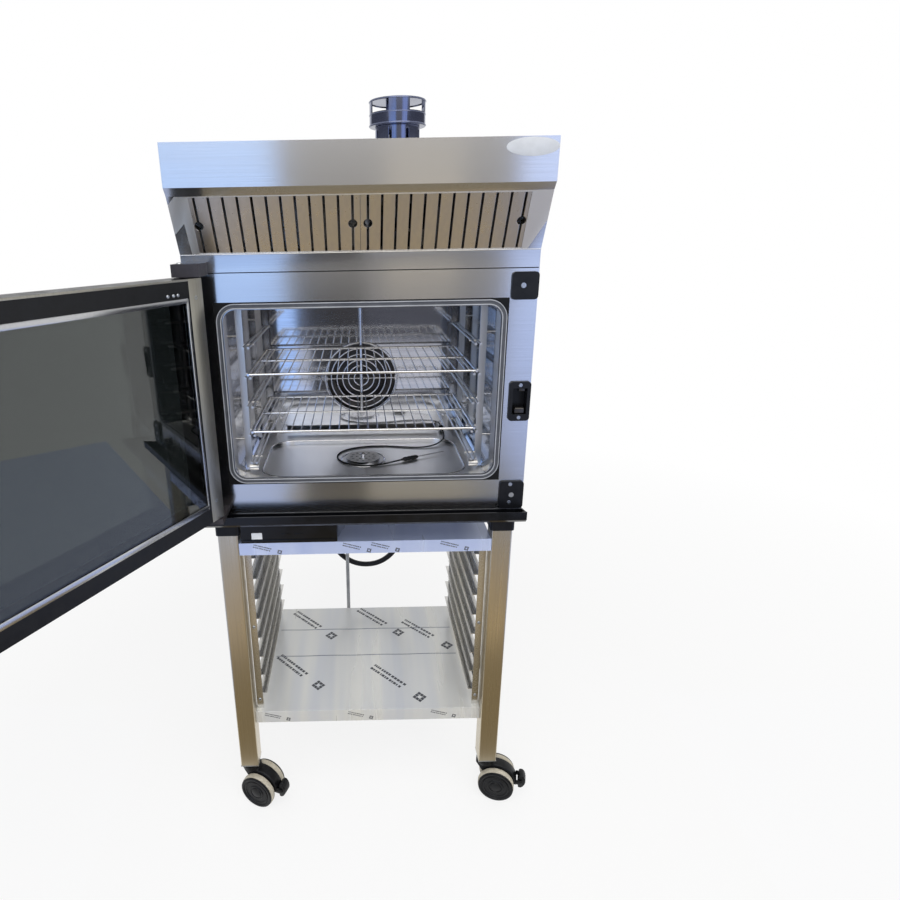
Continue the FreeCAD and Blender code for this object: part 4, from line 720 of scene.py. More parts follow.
@dataclass
class Studio:
    """The pale floor, the soft light, the reflector cards and the camera at the photograph's view."""

    lens_mm: float = 24.24
    camera_place: tuple[float, float, float] = (-0.0133, -1.3166, 1.5403)
    pitch_down: float = 18.82
    yaw: float = -0.16
    roll: float = -1.04
    shift: tuple[float, float] = (0.1006, -0.0110)
    floor_size: float = 30.0
    ambient: float = 0.6
    floor_fade: tuple[float, float] = (1.2, 3.4)
    wall_y: float = -4.2
    card_lift: float = 0.004
    flag_x: float = 2.4
    flag_z: float = 2.225
    flag_size: tuple[float, float] = (0.45, 6.0)

    def build(self) -> None:
        """Sets the view, the world, the floor, the cards and the lamps."""
        scene = bpy.context.scene
        scene.view_settings.view_transform = "Standard"
        self.set_camera(scene)
        self.set_world(scene)
        self.lay_floor()
        self.set_cards()
        self.set_lamps()
        log.info("studio set")

    def set_camera(self, scene: bpy.types.Scene) -> None:
        """Puts the camera where the photograph was taken.

        Args:
            scene: The scene that it looks at.
        """
        data = bpy.data.cameras.new("camera")
        data.lens = self.lens_mm
        data.sensor_width = 36.0
        data.sensor_fit = "HORIZONTAL"
        data.shift_x, data.shift_y = self.shift
        camera = bpy.data.objects.new("camera", data)
        turn = (Matrix.Rotation(math.radians(self.yaw), 4, "Z")
                @ Matrix.Rotation(math.radians(90 - self.pitch_down), 4, "X")
                @ Matrix.Rotation(math.radians(self.roll), 4, "Z"))
        camera.matrix_world = Matrix.Translation(self.camera_place) @ turn
        scene.collection.objects.link(camera)
        scene.camera = camera

    def seen_rays(self, tree: bpy.types.NodeTree) -> bpy.types.NodeSocket:
        """Tells rays that show a background, which are camera, mirror and see-through ones, from others.

        Args:
            tree: The material's or the world's node tree.

        Returns:
            The socket that is 1 for such rays.
        """
        path = add_node(tree, "ShaderNodeLightPath").outputs
        either = add_node(tree, "ShaderNodeMath", {0: path["Is Camera Ray"], 1: path["Is Glossy Ray"]},
                          operation="MAXIMUM").outputs[0]
        return add_node(tree, "ShaderNodeMath", {0: either, 1: path["Is Transmission Ray"]},
                        operation="MAXIMUM").outputs[0]

    def set_world(self, scene: bpy.types.Scene) -> None:
        """Makes a white surround that lights the object less than it shows.

        Args:
            scene: The scene that it surrounds.
        """
        world = bpy.data.worlds.new("white_surround")
        world.use_nodes = True
        tree = world.node_tree
        shade = tree.nodes["Background"]
        shade.inputs["Color"].default_value = linear("#ffffff")
        strength = add_node(tree, "ShaderNodeMapRange", {"Value": self.seen_rays(tree)},
                            {"To Min": self.ambient, "To Max": 1.0})
        tree.links.new(strength.outputs["Result"], shade.inputs["Strength"])
        scene.world = world

    def flat_card(self, name: str, width: float, depth: float, place: Matrix) -> bpy.types.Object:
        """Adds one rectangle of the set.

        Args:
            name: Its name.
            width: Its size along X.
            depth: Its size along Y.
            place: Where it goes.

        Returns:
            The rectangle, marked as stage.
        """
        half, reach = width / 2, depth / 2
        mesh = bpy.data.meshes.new(name)
        mesh.from_pydata([(-half, -reach, 0), (half, -reach, 0), (half, reach, 0), (-half, reach, 0)], [],
                         [(0, 1, 2, 3)])
        card = bpy.data.objects.new(name, mesh)
        card.matrix_world = place
        bpy.context.scene.collection.objects.link(card)
        return card

    def lay_floor(self) -> None:
        """Lays a pale floor that keeps the object's shadow under a white surround."""
        floor = self.flat_card("floor", self.floor_size, self.floor_size, HERE)
        made = bpy.data.materials.new("matt_white_floor")
        made.use_nodes = True
        tree = made.node_tree
        matt = tree.nodes["Principled BSDF"]
        matt.inputs["Base Color"].default_value = linear("#f1f1f0")
        matt.inputs["Roughness"].default_value = 0.9
        glow = add_node(tree, "ShaderNodeEmission", values={"Color": linear("#ffffff"), "Strength": 1.0})
        where = add_node(tree, "ShaderNodeTexCoord").outputs["Object"]
        away = add_node(tree, "ShaderNodeVectorMath", {0: where}, operation="LENGTH").outputs["Value"]
        white = add_node(tree, "ShaderNodeMapRange", {"Value": away},
                         {"From Min": self.floor_fade[0], "From Max": self.floor_fade[1], "To Min": 0.8})
        share = add_node(tree, "ShaderNodeMath", {0: self.seen_rays(tree), 1: white.outputs["Result"]},
                         operation="MULTIPLY")
        mixed = add_node(tree, "ShaderNodeMixShader", {0: share.outputs[0], 1: matt.outputs["BSDF"],
                                                       2: glow.outputs["Emission"]})
        tree.links.new(mixed.outputs["Shader"], tree.nodes["Material Output"].inputs["Surface"])
        floor.data.materials.append(made)

    def set_cards(self) -> None:
        """Stands reflector cards out of view, which only the steel's gleam shows.

        The wall is dim below and bright above, with a cool window at each side. The floor has a warm mat
        near the stand, a grey one further off and cool bare floor beside them. A dim flag at each side
        darkens the flue's edges.
        """
        upright = (("wall_foot", (-4.0, 4.0), (0.0, 0.45), 0.0, "#cfd0d8", 1.0),
                   ("wall_skirt", (-4.0, 4.0), (0.45, 1.0), 0.0, "#575860", 1.0),
                   ("wall_middle", (-4.0, 4.0), (1.0, 1.22), 0.0, "#a5a19c", 1.0),
                   ("wall_upper", (-4.0, 4.0), (1.22, 2.75), 0.0, "#aca8a3", 1.0),
                   ("wall_band", (-3.2, 3.2), (2.75, 3.9), 0.0, "#f0f1f6", 1.6),
                   ("warm_panel", (0.25, 0.88), (1.12, 2.1), 0.1, "#d3c9b8", 1.15),
                   ("dark_panel", (-0.32, 0.04), (0.0, 1.36), 2.3, "#454446", 1.0),
                   ("left_window_low", (-3.2, -0.61), (0.0, 1.22), 0.2, "#aacaff", 1.38),
                   ("left_window_high", (-3.2, -0.61), (1.22, 2.6), 0.2, "#b6d2ff", 1.65),
                   ("right_window_low", (1.3, 3.5), (0.0, 1.22), 0.2, "#c0d2ff", 1.3),
                   ("right_window_high", (1.31, 3.5), (1.22, 3.0), 0.2, "#c8d8ff", 1.6))
        flat = (("mat_shade", (-0.72, 1.0), (-0.65, -0.1), "#8f8268", 1.0),
                ("near_mat", (-0.72, 0.8), (-1.45, -0.65), "#c0ae8e", 1.0),
                ("mat_edge", (0.8, 1.0), (-1.45, -0.65), "#7d7468", 1.0),
                ("far_mat", (-0.45, 0.7), (-2.9, -1.45), "#a0967e", 1.0),
                ("grey_mat", (0.7, 1.0), (-2.9, -1.45), "#7b7a72", 1.0),
                ("far_floor", (-0.45, 1.0), (-4.2, -2.9), "#d0d4e4", 1.0),
                ("left_floor_near", (-3.2, -0.72), (-1.45, 0.4), "#c4d2f6", 1.0),
                ("left_floor_far", (-3.2, -0.45), (-4.2, -1.45), "#c4d2f6", 1.1),
                ("right_floor", (1.0, 3.4), (-4.2, 0.4), "#c4d3ff", 1.07))
        for name, (x0, x1), (z0, z1), ahead, colour, strength in upright:
            middle = Matrix.Translation(((x0 + x1) / 2, self.wall_y + ahead, (z0 + z1) / 2))
            self.reflector(self.flat_card(name, x1 - x0, z1 - z0, middle @ UPRIGHT), colour, strength)
        for name, (x0, x1), (y0, y1), colour, strength in flat:
            middle = Matrix.Translation(((x0 + x1) / 2, (y0 + y1) / 2, self.card_lift))
            self.reflector(self.flat_card(name, x1 - x0, y1 - y0, middle), colour, strength)
        turn_side = Matrix.Rotation(math.radians(90), 4, "Y")
        for name, x in (("left_flag", -self.flag_x), ("right_flag", self.flag_x)):
            place = Matrix.Translation((x, 0.0, self.flag_z)) @ turn_side
            self.reflector(self.flat_card(name, *self.flag_size, place), "#75757b", 1.0)

    def reflector(self, card: bpy.types.Object, colour: str, strength: float) -> None:
        """Makes a card glow for mirror rays alone.

        Args:
            card: The rectangle.
            colour: Its colour.
            strength: How bright it shows.
        """
        made = bpy.data.materials.new(f"card_{card.name}")
        made.use_nodes = True
        tree = made.node_tree
        glow = add_node(tree, "ShaderNodeEmission", values={"Color": linear(colour), "Strength": strength})
        tree.links.new(glow.outputs["Emission"], tree.nodes["Material Output"].inputs["Surface"])
        card.data.materials.append(made)
        card.visible_camera = False
        card.visible_diffuse = False
        card.visible_transmission = False
        card.visible_shadow = False

    def set_lamps(self) -> None:
        """Hangs one wide soft box above, two tall cool ones in front and one that shines into the mouth."""
        boxes = (("overhead_box", (0.3, -1.5, 3.6), (0.0, 0.2, 0.9), (3.2, 2.6), 52.0, "#fffdf8", True),
                 ("left_box", (-2.3, -3.9, 1.7), (0.0, 0.0, 1.3), (2.6, 2.6), 19.0, "#cfdcff", False),
                 ("right_box", (2.4, -3.9, 1.6), (0.0, 0.0, 1.3), (2.4, 2.6), 16.0, "#d6e0ff", False),
                 ("mouth_box", (0.1, -2.3, 1.75), (0.0, 0.3, 1.1), (1.0, 0.8), 9.0, "#f4f6ff", False))
        for name, spot, aim, size, power, colour, mirrored in boxes:
            data = bpy.data.lights.new(name, "AREA")
            data.shape = "RECTANGLE"
            data.size, data.size_y = size
            data.energy = power
            data.color = linear(colour)[:3]
            lamp = bpy.data.objects.new(name, data)
            way = Vector(aim) - Vector(spot)
            lamp.matrix_world = Matrix.Translation(spot) @ way.to_track_quat("-Z", "Y").to_matrix().to_4x4()
            lamp.visible_camera = False
            lamp.visible_glossy = mirrored
            bpy.context.scene.collection.objects.link(lamp)


@dataclass
class Cord:
    """A free hose or cable along a route of given points."""

    name: str
    route: Sequence[Point]
    radius: float
    finish: Finish

    def build(self) -> bpy.types.Object:
        """Makes the smooth curve that stands for the cord's solid.

        Returns:
            The curve, on the oven's body.
        """
        data = bpy.data.curves.new(self.name, "CURVE")
        data.dimensions = "3D"
        spline = data.splines.new("NURBS")
        spline.points.add(len(self.route) - 1)
        for point, spot in zip(spline.points, self.route):
            point.co = (*spot, 1.0)
        spline.order_u = 3
        spline.use_endpoint_u = True
        spline.resolution_u = 10
        data.bevel_depth = self.radius
        data.bevel_resolution = 6
        data.use_fill_caps = True
        return settle(bpy.data.objects.new(self.name, data), self.finish, "oven", [self.name])


@dataclass
class DrainHose:
    """The black hose that hangs in a U behind the stand, with its clips and the grey pipe."""

    route: tuple[Point, ...] = (
        (-0.128, 0.600, 0.884), (-0.132, 0.600, 0.760), (-0.134, 0.600, 0.625), (-0.120, 0.600, 0.505),
        (-0.045, 0.600, 0.417), (0.063, 0.600, 0.416), (0.136, 0.600, 0.502), (0.152, 0.600, 0.622),
        (0.150, 0.600, 0.758), (0.146, 0.600, 0.884))
    radius: float = 0.009
    length: float = 1.081
    clip_radius: float = 0.0122
    pipe_place: tuple[float, float] = (-0.058, 0.575)
    collar_ends: tuple[float, float] = (0.02, 0.03)

    def build(self) -> None:
        """Makes the hose, a worm-drive clip at each end and the pipe's collars."""
        hose = Cord("siphon_hose", self.route, self.radius, HOSE).build()
        hose.name = "hanging_hose"
        dress(PIPE, "drain_pipework")
        clips = Shape()
        r = self.clip_radius
        band = both_halves([(r - 0.0026, -0.006), (r, -0.0055), (r + 0.0005, -0.004)])
        for end in (self.route[0], self.route[-1]):
            place = Matrix.Translation(end)
            clips.turned(band, place, looped=True)
            clips.block((r - 0.002, -0.006, -0.004), (r + 0.006, 0.008, 0.004), place)
            clips.screw((end[0] + r + 0.002, end[1] - 0.006, end[2]), FRONT, 0.0035)
        clips.piece("hose_clips", ZINC, "oven")
        low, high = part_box("drain_pipework")
        collars = Shape()
        sleeve = both_halves([(0.0058, -0.016), (0.0082, -0.016), (0.0088, -0.0145)])
        for z in (low.z + self.collar_ends[0], high.z - self.collar_ends[1]):
            collars.turned(sleeve, Matrix.Translation((*self.pipe_place, z)), sides=32, looped=True)
        collars.piece("pipe_collars", PIPE, "oven")


@dataclass
class CoreProbe:
    """The needle probe that lies in the sump on its thin cable."""

    route: tuple[Point, ...] = (
        (0.235, 0.386, 0.990), (0.238, 0.352, 0.988), (0.230, 0.312, 0.983), (0.203, 0.281, 0.977),
        (0.160, 0.268, 0.9745), (0.105, 0.280, 0.9742), (0.050, 0.292, 0.9742), (-0.005, 0.286, 0.9742),
        (-0.050, 0.262, 0.9742), (-0.072, 0.222, 0.9742), (-0.063, 0.177, 0.9742), (-0.028, 0.145, 0.9742),
        (0.020, 0.137, 0.9743), (0.062, 0.150, 0.9755), (0.099, 0.168, 0.978))
    radius: float = 0.002
    length: float = 0.6434
    grip_length: float = 0.050
    needle_length: float = 0.088

    def build(self) -> None:
        """Makes the cable, the grip, the needle and the boot that the cable comes out of."""
        cable = Cord("probe_cable", self.route, self.radius, SEAT_RUBBER).build()
        cable.name = "thin_probe_cable"
        tip, before = Vector(self.route[-1]), Vector(self.route[-2])
        lie = Vector((tip.x - before.x, tip.y - before.y, 0))
        place = facing(tip, lie)
        end = self.grip_length
        grip = Shape()
        grip.turned([(0.0, -0.001), (0.0024, -0.001), (0.003, 0.004), (0.0044, 0.007), (0.0055, 0.011),
                     (0.0055, 0.016), (0.0048, 0.018), (0.0048, 0.020), (0.0055, 0.022), (0.0055, 0.026),
                     (0.0048, 0.028), (0.0048, 0.030), (0.0055, 0.032), (0.0055, end - 0.006),
                     (0.004, end - 0.001), (0.002, end + 0.001), (0.0, end + 0.001)], place, sides=32)
        handle = grip.piece("probe_grip", PLASTIC, "oven", ["core_probe"])
        needle = Shape()
        far = end + self.needle_length
        needle.turned([(0.0, end - 0.002), (0.0016, end - 0.002), (0.0016, far - 0.012),
                       (0.0011, far - 0.006), (0.0, far)], place, sides=24)
        blade = needle.piece("probe_needle", WIRE, "oven")
        low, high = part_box("probe_grommet")
        boot = Shape()
        root = ((low.x + high.x) / 2, high.y, (low.z + high.z) / 2)
        boot.turned([(0.0, 0.0), (0.0075, 0.0), (0.0075, 0.004), (0.0062, 0.0048), (0.0058, 0.0052),
                     (0.0058, 0.0065), (0.0052, 0.0072), (0.0046, 0.010), (0.0036, 0.0138), (0.0024, 0.0145),
                     (0.0, 0.0145)], facing(root, FRONT), sides=32)
        boot.piece("probe_boot", SEAT_RUBBER, "oven", ["probe_grommet"])


@dataclass
class Stand:
    """The four-legged stand: legs, filmed sheets and tray ladders."""

    mark_length: float = 0.20
    mark_turn: float = -46.0
    mark_rise: float = 0.1 * MM
    # Height of each row of bars, and the number that varies their widths
    bar_rows: tuple[Point, ...] = ((0.007, 3.0), (-0.010, 5.0))
    bars: int = 13
    bar_half: float = 0.0042
    bar_least: float = 0.004
    bar_extra: float = 0.005
    bar_gap: float = 0.0022
    word_gap: float = 0.0045
    tile: float = 0.0088
    tile_pitch: float = 0.010
    tiles_foot: float = -0.0155
    flange_scale: float = 0.36
    flange_turn_share: float = 0.35
    flange_marks: tuple[tuple[str, tuple[float, ...]], ...] = (
        ("stand_shelf", (-0.25, -0.02, 0.21)), ("stand_top", (-0.24, -0.02, 0.05, 0.22)))
    shelf_marks: tuple[Point, ...] = (
        (0.09, 0.135), (-0.20, 0.19), (-0.17, 0.42), (0.05, 0.43), (0.20, 0.36))
    seam_places: tuple[float, float] = (0.230, 0.362)
    seam_inset: float = 0.03
    seam_steps: int = 40
    # How far the creases stray, and radians of that per metre
    seam_wave: float = 0.0008
    seam_swing: float = 40.0
    ladder_screw_inset: float = 0.03
    ladder_screw_side: float = 0.009
    edge: float = 0.0005

    def build(self) -> None:
        """Dresses the stand's nodes and adds the film's marks and creases and the bolts."""
        dress(LEGS, "front_legs", "rear_legs", edge=self.edge)
        dress(FILMED_TOP, "stand_top", edge=self.edge)
        dress(FILMED, "stand_shelf", edge=self.edge)
        dress(RUNNERS, "tray_ladder_left", "tray_ladder_right", edge=0.0004)
        self.print_film()
        self.lay_seams()
        self.fasten()

    def mark(self, shape: Shape, place: Matrix) -> None:
        """Adds one generic film mark: two broken lines and a plain square.

        Args:
            shape: The mesh that holds the marks.
            place: The mark's middle, its line along X.
        """
        half = self.mark_length / 2
        for row, first in self.bar_rows:
            reach = -half
            for i in range(self.bars):
                wide = self.bar_least + self.bar_extra * (math.sin(first * (i + 1)) ** 2)
                shape.block((reach, row - self.bar_half, 0),
                            (reach + wide, row + self.bar_half, self.mark_rise), place, edge=0)
                reach += wide + (self.word_gap if i % 4 == 3 else self.bar_gap)
        for i, j in ((0, 0), (0, 1), (0, 2), (1, 0), (2, 0), (2, 2), (1, 2), (2, 1)):
            x, y = half + (i - 3) * self.tile_pitch, self.tiles_foot + j * self.tile_pitch
            shape.block((x, y, 0), (x + self.tile, y + self.tile, self.mark_rise), place, edge=0)

    def print_film(self) -> None:
        """Prints the film on the shelf and on both front flanges."""
        marks = Shape()
        _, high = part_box("stand_shelf")
        turn = Matrix.Rotation(math.radians(self.mark_turn), 4, "Z")
        for x, y in self.shelf_marks:
            self.mark(marks, Matrix.Translation((x, y, high.z)) @ turn)
        tilt = (Matrix.Rotation(math.radians(self.mark_turn * self.flange_turn_share), 4, "Z")
                @ Matrix.Scale(self.flange_scale, 4))
        for node, places in self.flange_marks:
            low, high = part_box(node)
            for x in places:
                spot = (x, low.y, (low.z + high.z) / 2)
                self.mark(marks, Matrix.Translation(spot) @ UPRIGHT @ tilt)
        marks.piece("film_marks", INK, "oven")

    def lay_seams(self) -> None:
        """Lays the two creases that cross the shelf's film."""
        low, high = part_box("stand_shelf")
        ridge = [(-0.0014, 0.0), (0.0014, 0.0), (0.0004, 0.0007), (-0.0004, 0.0007)]
        start, end = low.x + self.seam_inset, high.x - self.seam_inset
        spots = [start + (end - start) * i / self.seam_steps for i in range(self.seam_steps + 1)]
        seams = Shape()
        for place in self.seam_places:
            rings = []
            for x in spots:
                middle = low.y + place + self.seam_wave * math.sin(x * self.seam_swing)
                rings.append([(x, middle + u, high.z + v) for u, v in ridge])
            seams.rings(rings)
        seams.piece("film_creases", CREASE, "oven")

    def fasten(self) -> None:
        """Adds the bolts that hold the sheets to the legs and the ladders' screws."""
        bolts = Shape()
        for node in ("stand_top", "stand_shelf"):
            low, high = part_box(node)
            middle = (low.z + high.z) / 2
            for legs in ("front_legs", "rear_legs"):
                legs_low, legs_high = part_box(legs)
                y = (legs_low.y + legs_high.y) / 2
                for x, toward in ((legs_low.x, LEFT), (legs_high.x, RIGHT)):
                    bolts.screw((x, y, middle), toward, BOLT)
        for node, side in (("tray_ladder_left", -1), ("tray_ladder_right", 1)):
            low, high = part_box(node)
            x = (low.x if side < 0 else high.x) - side * self.ladder_screw_side
            inset = self.ladder_screw_inset
            for z in (low.z + inset, (low.z + high.z) / 2, high.z - inset):
                bolts.screw((x, low.y, z), FRONT, SCREW)
                bolts.screw((x, high.y, z), BACK, SCREW)
        bolts.piece("stand_bolts", ZINC, "oven")


@dataclass
class Caster:
    """One twin-wheel swivel caster: disc faces with rings, pale treads, a black housing and a pedal."""

    corner: str
    braked: bool
    trail: float = 0.034
    axle_height: float = 0.050
    half_web: float = 0.015
    fender_radius: float = 0.0565
    fender_steps: int = 12
    head_radius: float = 0.025
    head_low: float = 0.1025
    head_high: float = 0.1217
    pedal_place: tuple[float, float] = (0.0995, 0.062)
    pedal_half: float = 0.0138
    ear_root: float = 0.0870
    ear_middle: float = 0.0168
    ear_half: float = 0.0025

    def build(self) -> None:
        """Makes the caster's pieces where its joints stand."""
        swivel = joint(f"swivel_{self.corner}")["pos_m"]
        across = joint(f"roll_{self.corner}")["axis"]
        turn = math.atan2(-across[0], across[1])
        self.place = Matrix.Translation((swivel[0], swivel[1], 0)) @ Matrix.Rotation(turn, 4, "Z")
        self.build_wheels()
        self.build_housing()
        if self.braked:
            self.build_pedal()

    def build_wheels(self) -> None:
        """Turns the two discs with their raised rings, and the treads round them."""
        discs, treads = Shape(), Shape()
        axle = self.place @ Matrix.Translation((self.trail, 0, self.axle_height))
        face = [(0.0, 0.0175), (0.0415, 0.0175), (0.0415, 0.0346), (0.0482, 0.0346), (0.0487, 0.0358),
                (0.0482, 0.0378), (0.0462, 0.0390), (0.0425, 0.0392), (0.0412, 0.0384), (0.0404, 0.0366),
                (0.0368, 0.0362), (0.0358, 0.0376), (0.0342, 0.0380), (0.0330, 0.0372), (0.0322, 0.0358),
                (0.0228, 0.0360), (0.0218, 0.0376), (0.0200, 0.0384), (0.0182, 0.0380), (0.0172, 0.0366),
                (0.0148, 0.0366), (0.0138, 0.0384), (0.0090, 0.0394), (0.0, 0.0398)]
        tyre = [(0.0417, 0.0176), (0.0462, 0.0172), (0.0490, 0.0186), (0.0500, 0.0216), (0.0500, 0.0306),
                (0.0491, 0.0334), (0.0470, 0.0344), (0.0417, 0.0344)]
        for toward in (-1, 1):
            side = axle @ Matrix.Rotation(math.radians(-90 * toward), 4, "X")
            discs.turned(face, side, sides=64)
            treads.turned(tyre, side, sides=64, looped=True)
        discs.piece(f"wheel_discs_{self.corner}", CASTER_PLASTIC, f"wheels_{self.corner}",
                    [f"caster_wheels_{self.corner}"])
        treads.piece(f"wheel_treads_{self.corner}", TREAD, f"wheels_{self.corner}")

    def build_housing(self) -> None:
        """Makes the web between the wheels with its fender, the swivel head and the pedal's ears."""
        shape = Shape()
        outline = [(-self.head_radius, self.head_low + 0.001), (0.006, 0.056), (0.020, 0.037),
                   (0.034, 0.033), (0.050, 0.038), (0.064, 0.048)]
        for i in range(self.fender_steps + 1):
            turn = math.radians(-2 + 100 * i / self.fender_steps)
            outline.append((self.trail + self.fender_radius * math.cos(turn),
                            self.axle_height + self.fender_radius * math.sin(turn)))
        outline += [(self.head_radius, self.head_high - 0.004), (-self.head_radius, self.head_high - 0.004)]
        standing = self.place @ UPRIGHT
        shape.plate(outline, -self.half_web, self.half_web, standing, edge=0.003, steps=3)
        r, low, high = self.head_radius, self.head_low, self.head_high
        shape.turned([(0.0, low - 0.004), (r * 0.7, low - 0.004), (r * 0.92, low), (r, low + 0.003),
                      (r, high - 0.003), (r * 0.96, high - 0.0008), (r * 0.9, high), (0.0, high)],
                     self.place)
        if self.braked:
            x, z = self.pedal_place
            for y in (-self.ear_middle, self.ear_middle):
                shape.block((self.ear_root, y - self.ear_half, z - 0.007),
                            (x + 0.006, y + self.ear_half, z + 0.007), self.place, edge=0.002)
        shape.piece(f"swivel_housing_{self.corner}", CASTER_PLASTIC, f"caster_{self.corner}",
                    [f"caster_housing_{self.corner}"])
        race = Shape()
        race.turned([(0.0, high - 0.001), (r * 0.86, high - 0.001), (r * 0.86, high + 0.0001),
                     (0.0, high + 0.0001)], self.place)
        race.piece(f"swivel_race_{self.corner}", ZINC, f"caster_{self.corner}")

    def build_pedal(self) -> None:
        """Makes the curved foot pedal with its grip ribs and pin."""
        word = self.corner.split("_")[1]
        x, z = self.pedal_place
        outline = [(x - 0.0045, z - 0.021), (x + 0.003, z - 0.022), (x + 0.0095, z - 0.016),
                   (x + 0.0138, z - 0.007), (x + 0.0150, z), (x + 0.0144, z + 0.008),
                   (x + 0.0112, z + 0.0165), (x + 0.006, z + 0.022), (x - 0.0015, z + 0.0215),
                   (x - 0.0045, z + 0.018)]
        pedal = Shape()
        half = self.pedal_half
        pedal.plate(outline, -half, half, self.place @ UPRIGHT, edge=0.0022, steps=3)
        for step in (-0.010, -0.003, 0.004, 0.011):
            reach = x + 0.0152 - abs(step) ** 2 * 34
            pedal.block((reach - 0.003, -0.010, z + step - 0.0011),
                        (reach + 0.0006, 0.010, z + step + 0.0011), self.place, edge=0.0005)
        barrel = both_halves([(0.0, -half), (0.0062, -half), (0.0068, 0.0008 - half)])
        pedal.turned(barrel, self.place @ Matrix.Translation((x, 0.0, z)) @ UPRIGHT, sides=32)
        pedal.piece(f"foot_pedal_{word}", CASTER_PLASTIC, f"pedal_{word}", [f"brake_pedal_{word}"])


@dataclass
class Casing:
    """The oven's outside: feet, base, front frame, panels and rear fittings."""

    edge: float = 0.0005
    rear_inset: float = 0.012
    rear_screws: tuple[float, ...] = (-0.18, 0.0, 0.18)
    side_inset: float = 0.03
    side_shares: tuple[float, ...] = (0.08, 0.5, 0.92)
    louvre_columns: tuple[float, float] = (-0.2, 0.2)
    louvre_rows: int = 8
    louvre_width: float = 0.11
    louvre_pitch: float = 0.022
    louvre_foot: float = 1.2
    thread_turns: int = 8
    inlet_radius: float = 0.0132
    thread_root: float = 0.0118
    thread_pitch: float = 0.0018
    gland_radius: float = 0.015

    def build(self) -> None:
        """Dresses the casing and adds its screws, louvres and rear fittings."""
        dress(PLASTIC, "oven_feet", edge=0.0015)
        dress(CASING, "front_frame")
        dress(CASING, "base_pan", edge=self.edge)
        dress(CASING_UPRIGHT, "side_panels", "rear_panel", edge=self.edge)
        dress(CASING_DEEP, "top_panel", edge=self.edge)
        dress(ZINC, "caster_stems", edge=0.0004)
        dress(WOOL, "insulation")
        dress(MOTOR, "fan_motor", edge=0.0006)
        self.drive_screws()
        self.press_louvres()
        self.fit_rear()

    def drive_screws(self) -> None:
        """Sets the panel screws along the rear and the sides."""
        screws = Shape()
        low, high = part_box("rear_panel")
        inset = self.rear_inset
        for z in (low.z + inset, (low.z + high.z) / 2, high.z - inset):
            for x in (low.x + inset, high.x - inset):
                screws.screw((x, high.y, z), BACK, SCREW)
        for x in self.rear_screws:
            for z in (low.z + inset, high.z - inset):
                screws.screw((x, high.y, z), BACK, SCREW)
        sides_low, sides_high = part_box("side_panels")
        for z in (sides_low.z + self.side_inset, sides_high.z - self.side_inset):
            for share in self.side_shares:
                y = sides_low.y + (sides_high.y - sides_low.y) * share
                screws.screw((sides_low.x, y, z), LEFT, SCREW)
                screws.screw((sides_high.x, y, z), RIGHT, SCREW)
        screws.piece("panel_screws", ZINC, "oven")

    def press_louvres(self) -> None:
        """Presses cooling louvres into the rear panel."""
        _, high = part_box("rear_panel")
        section = [(0.0, 0.0), (0.0, 0.012), (0.0028, 0.0095), (0.0048, 0.005), (0.0052, 0.0)]
        louvres = Shape()
        half = self.louvre_width / 2
        for x in self.louvre_columns:
            for row in range(self.louvre_rows):
                z = self.louvre_foot + row * self.louvre_pitch
                rings = []
                for share in (-1.0, -0.94, -0.8, 0.0, 0.8, 0.94, 1.0):
                    swell = math.sqrt(max(1 - abs(share) ** 6, 0.02))
                    rings.append([(x + half * share, high.y + out * swell, z + up) for out, up in section])
                louvres.rings(rings)
        louvres.piece("rear_louvres", CASING_UPRIGHT, "oven")

    def fit_rear(self) -> None:
        """Makes the threaded water inlet and the cable gland."""
        low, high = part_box("rear_fittings")
        _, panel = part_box("rear_panel")
        z = (low.z + high.z) / 2
        inlet = Shape()
        root, crest = self.thread_root, self.inlet_radius
        place = facing((low.x + crest, panel.y, z), BACK)
        inlet.turned([(0.0, 0.0), (0.0165, 0.0), (0.0165, 0.004), (0.0, 0.004)], place, sides=24, flats=6)
        thread = [(0.0, 0.003), (root, 0.003)]
        for turn in range(self.thread_turns):
            rise = turn * self.thread_pitch
            thread += [(root, 0.0045 + rise), (crest, 0.0054 + rise)]
        mouth = [(root, 0.0195), (0.0112, 0.020), (0.009, 0.020), (0.009, 0.008), (0.0, 0.008)]
        inlet.turned(thread + mouth, place)
        inlet.piece("threaded_inlet", BRASS, "oven", ["rear_fittings"])
        gland = Shape()
        r = self.gland_radius
        place = facing((high.x - r, panel.y, z), BACK)
        gland.turned([(0.0, 0.0), (r, 0.0), (r, 0.009), (r - 0.001, 0.010), (0.0, 0.010)], place, sides=24,
                     flats=6)
        gland.turned([(0.0, 0.009), (0.0135, 0.010), (0.0135, 0.020), (0.0118, 0.0262), (0.0085, 0.0296),
                      (0.0062, 0.030), (0.0058, 0.026), (0.0, 0.026)], place)
        gland.piece("cable_gland", PLASTIC, "oven")


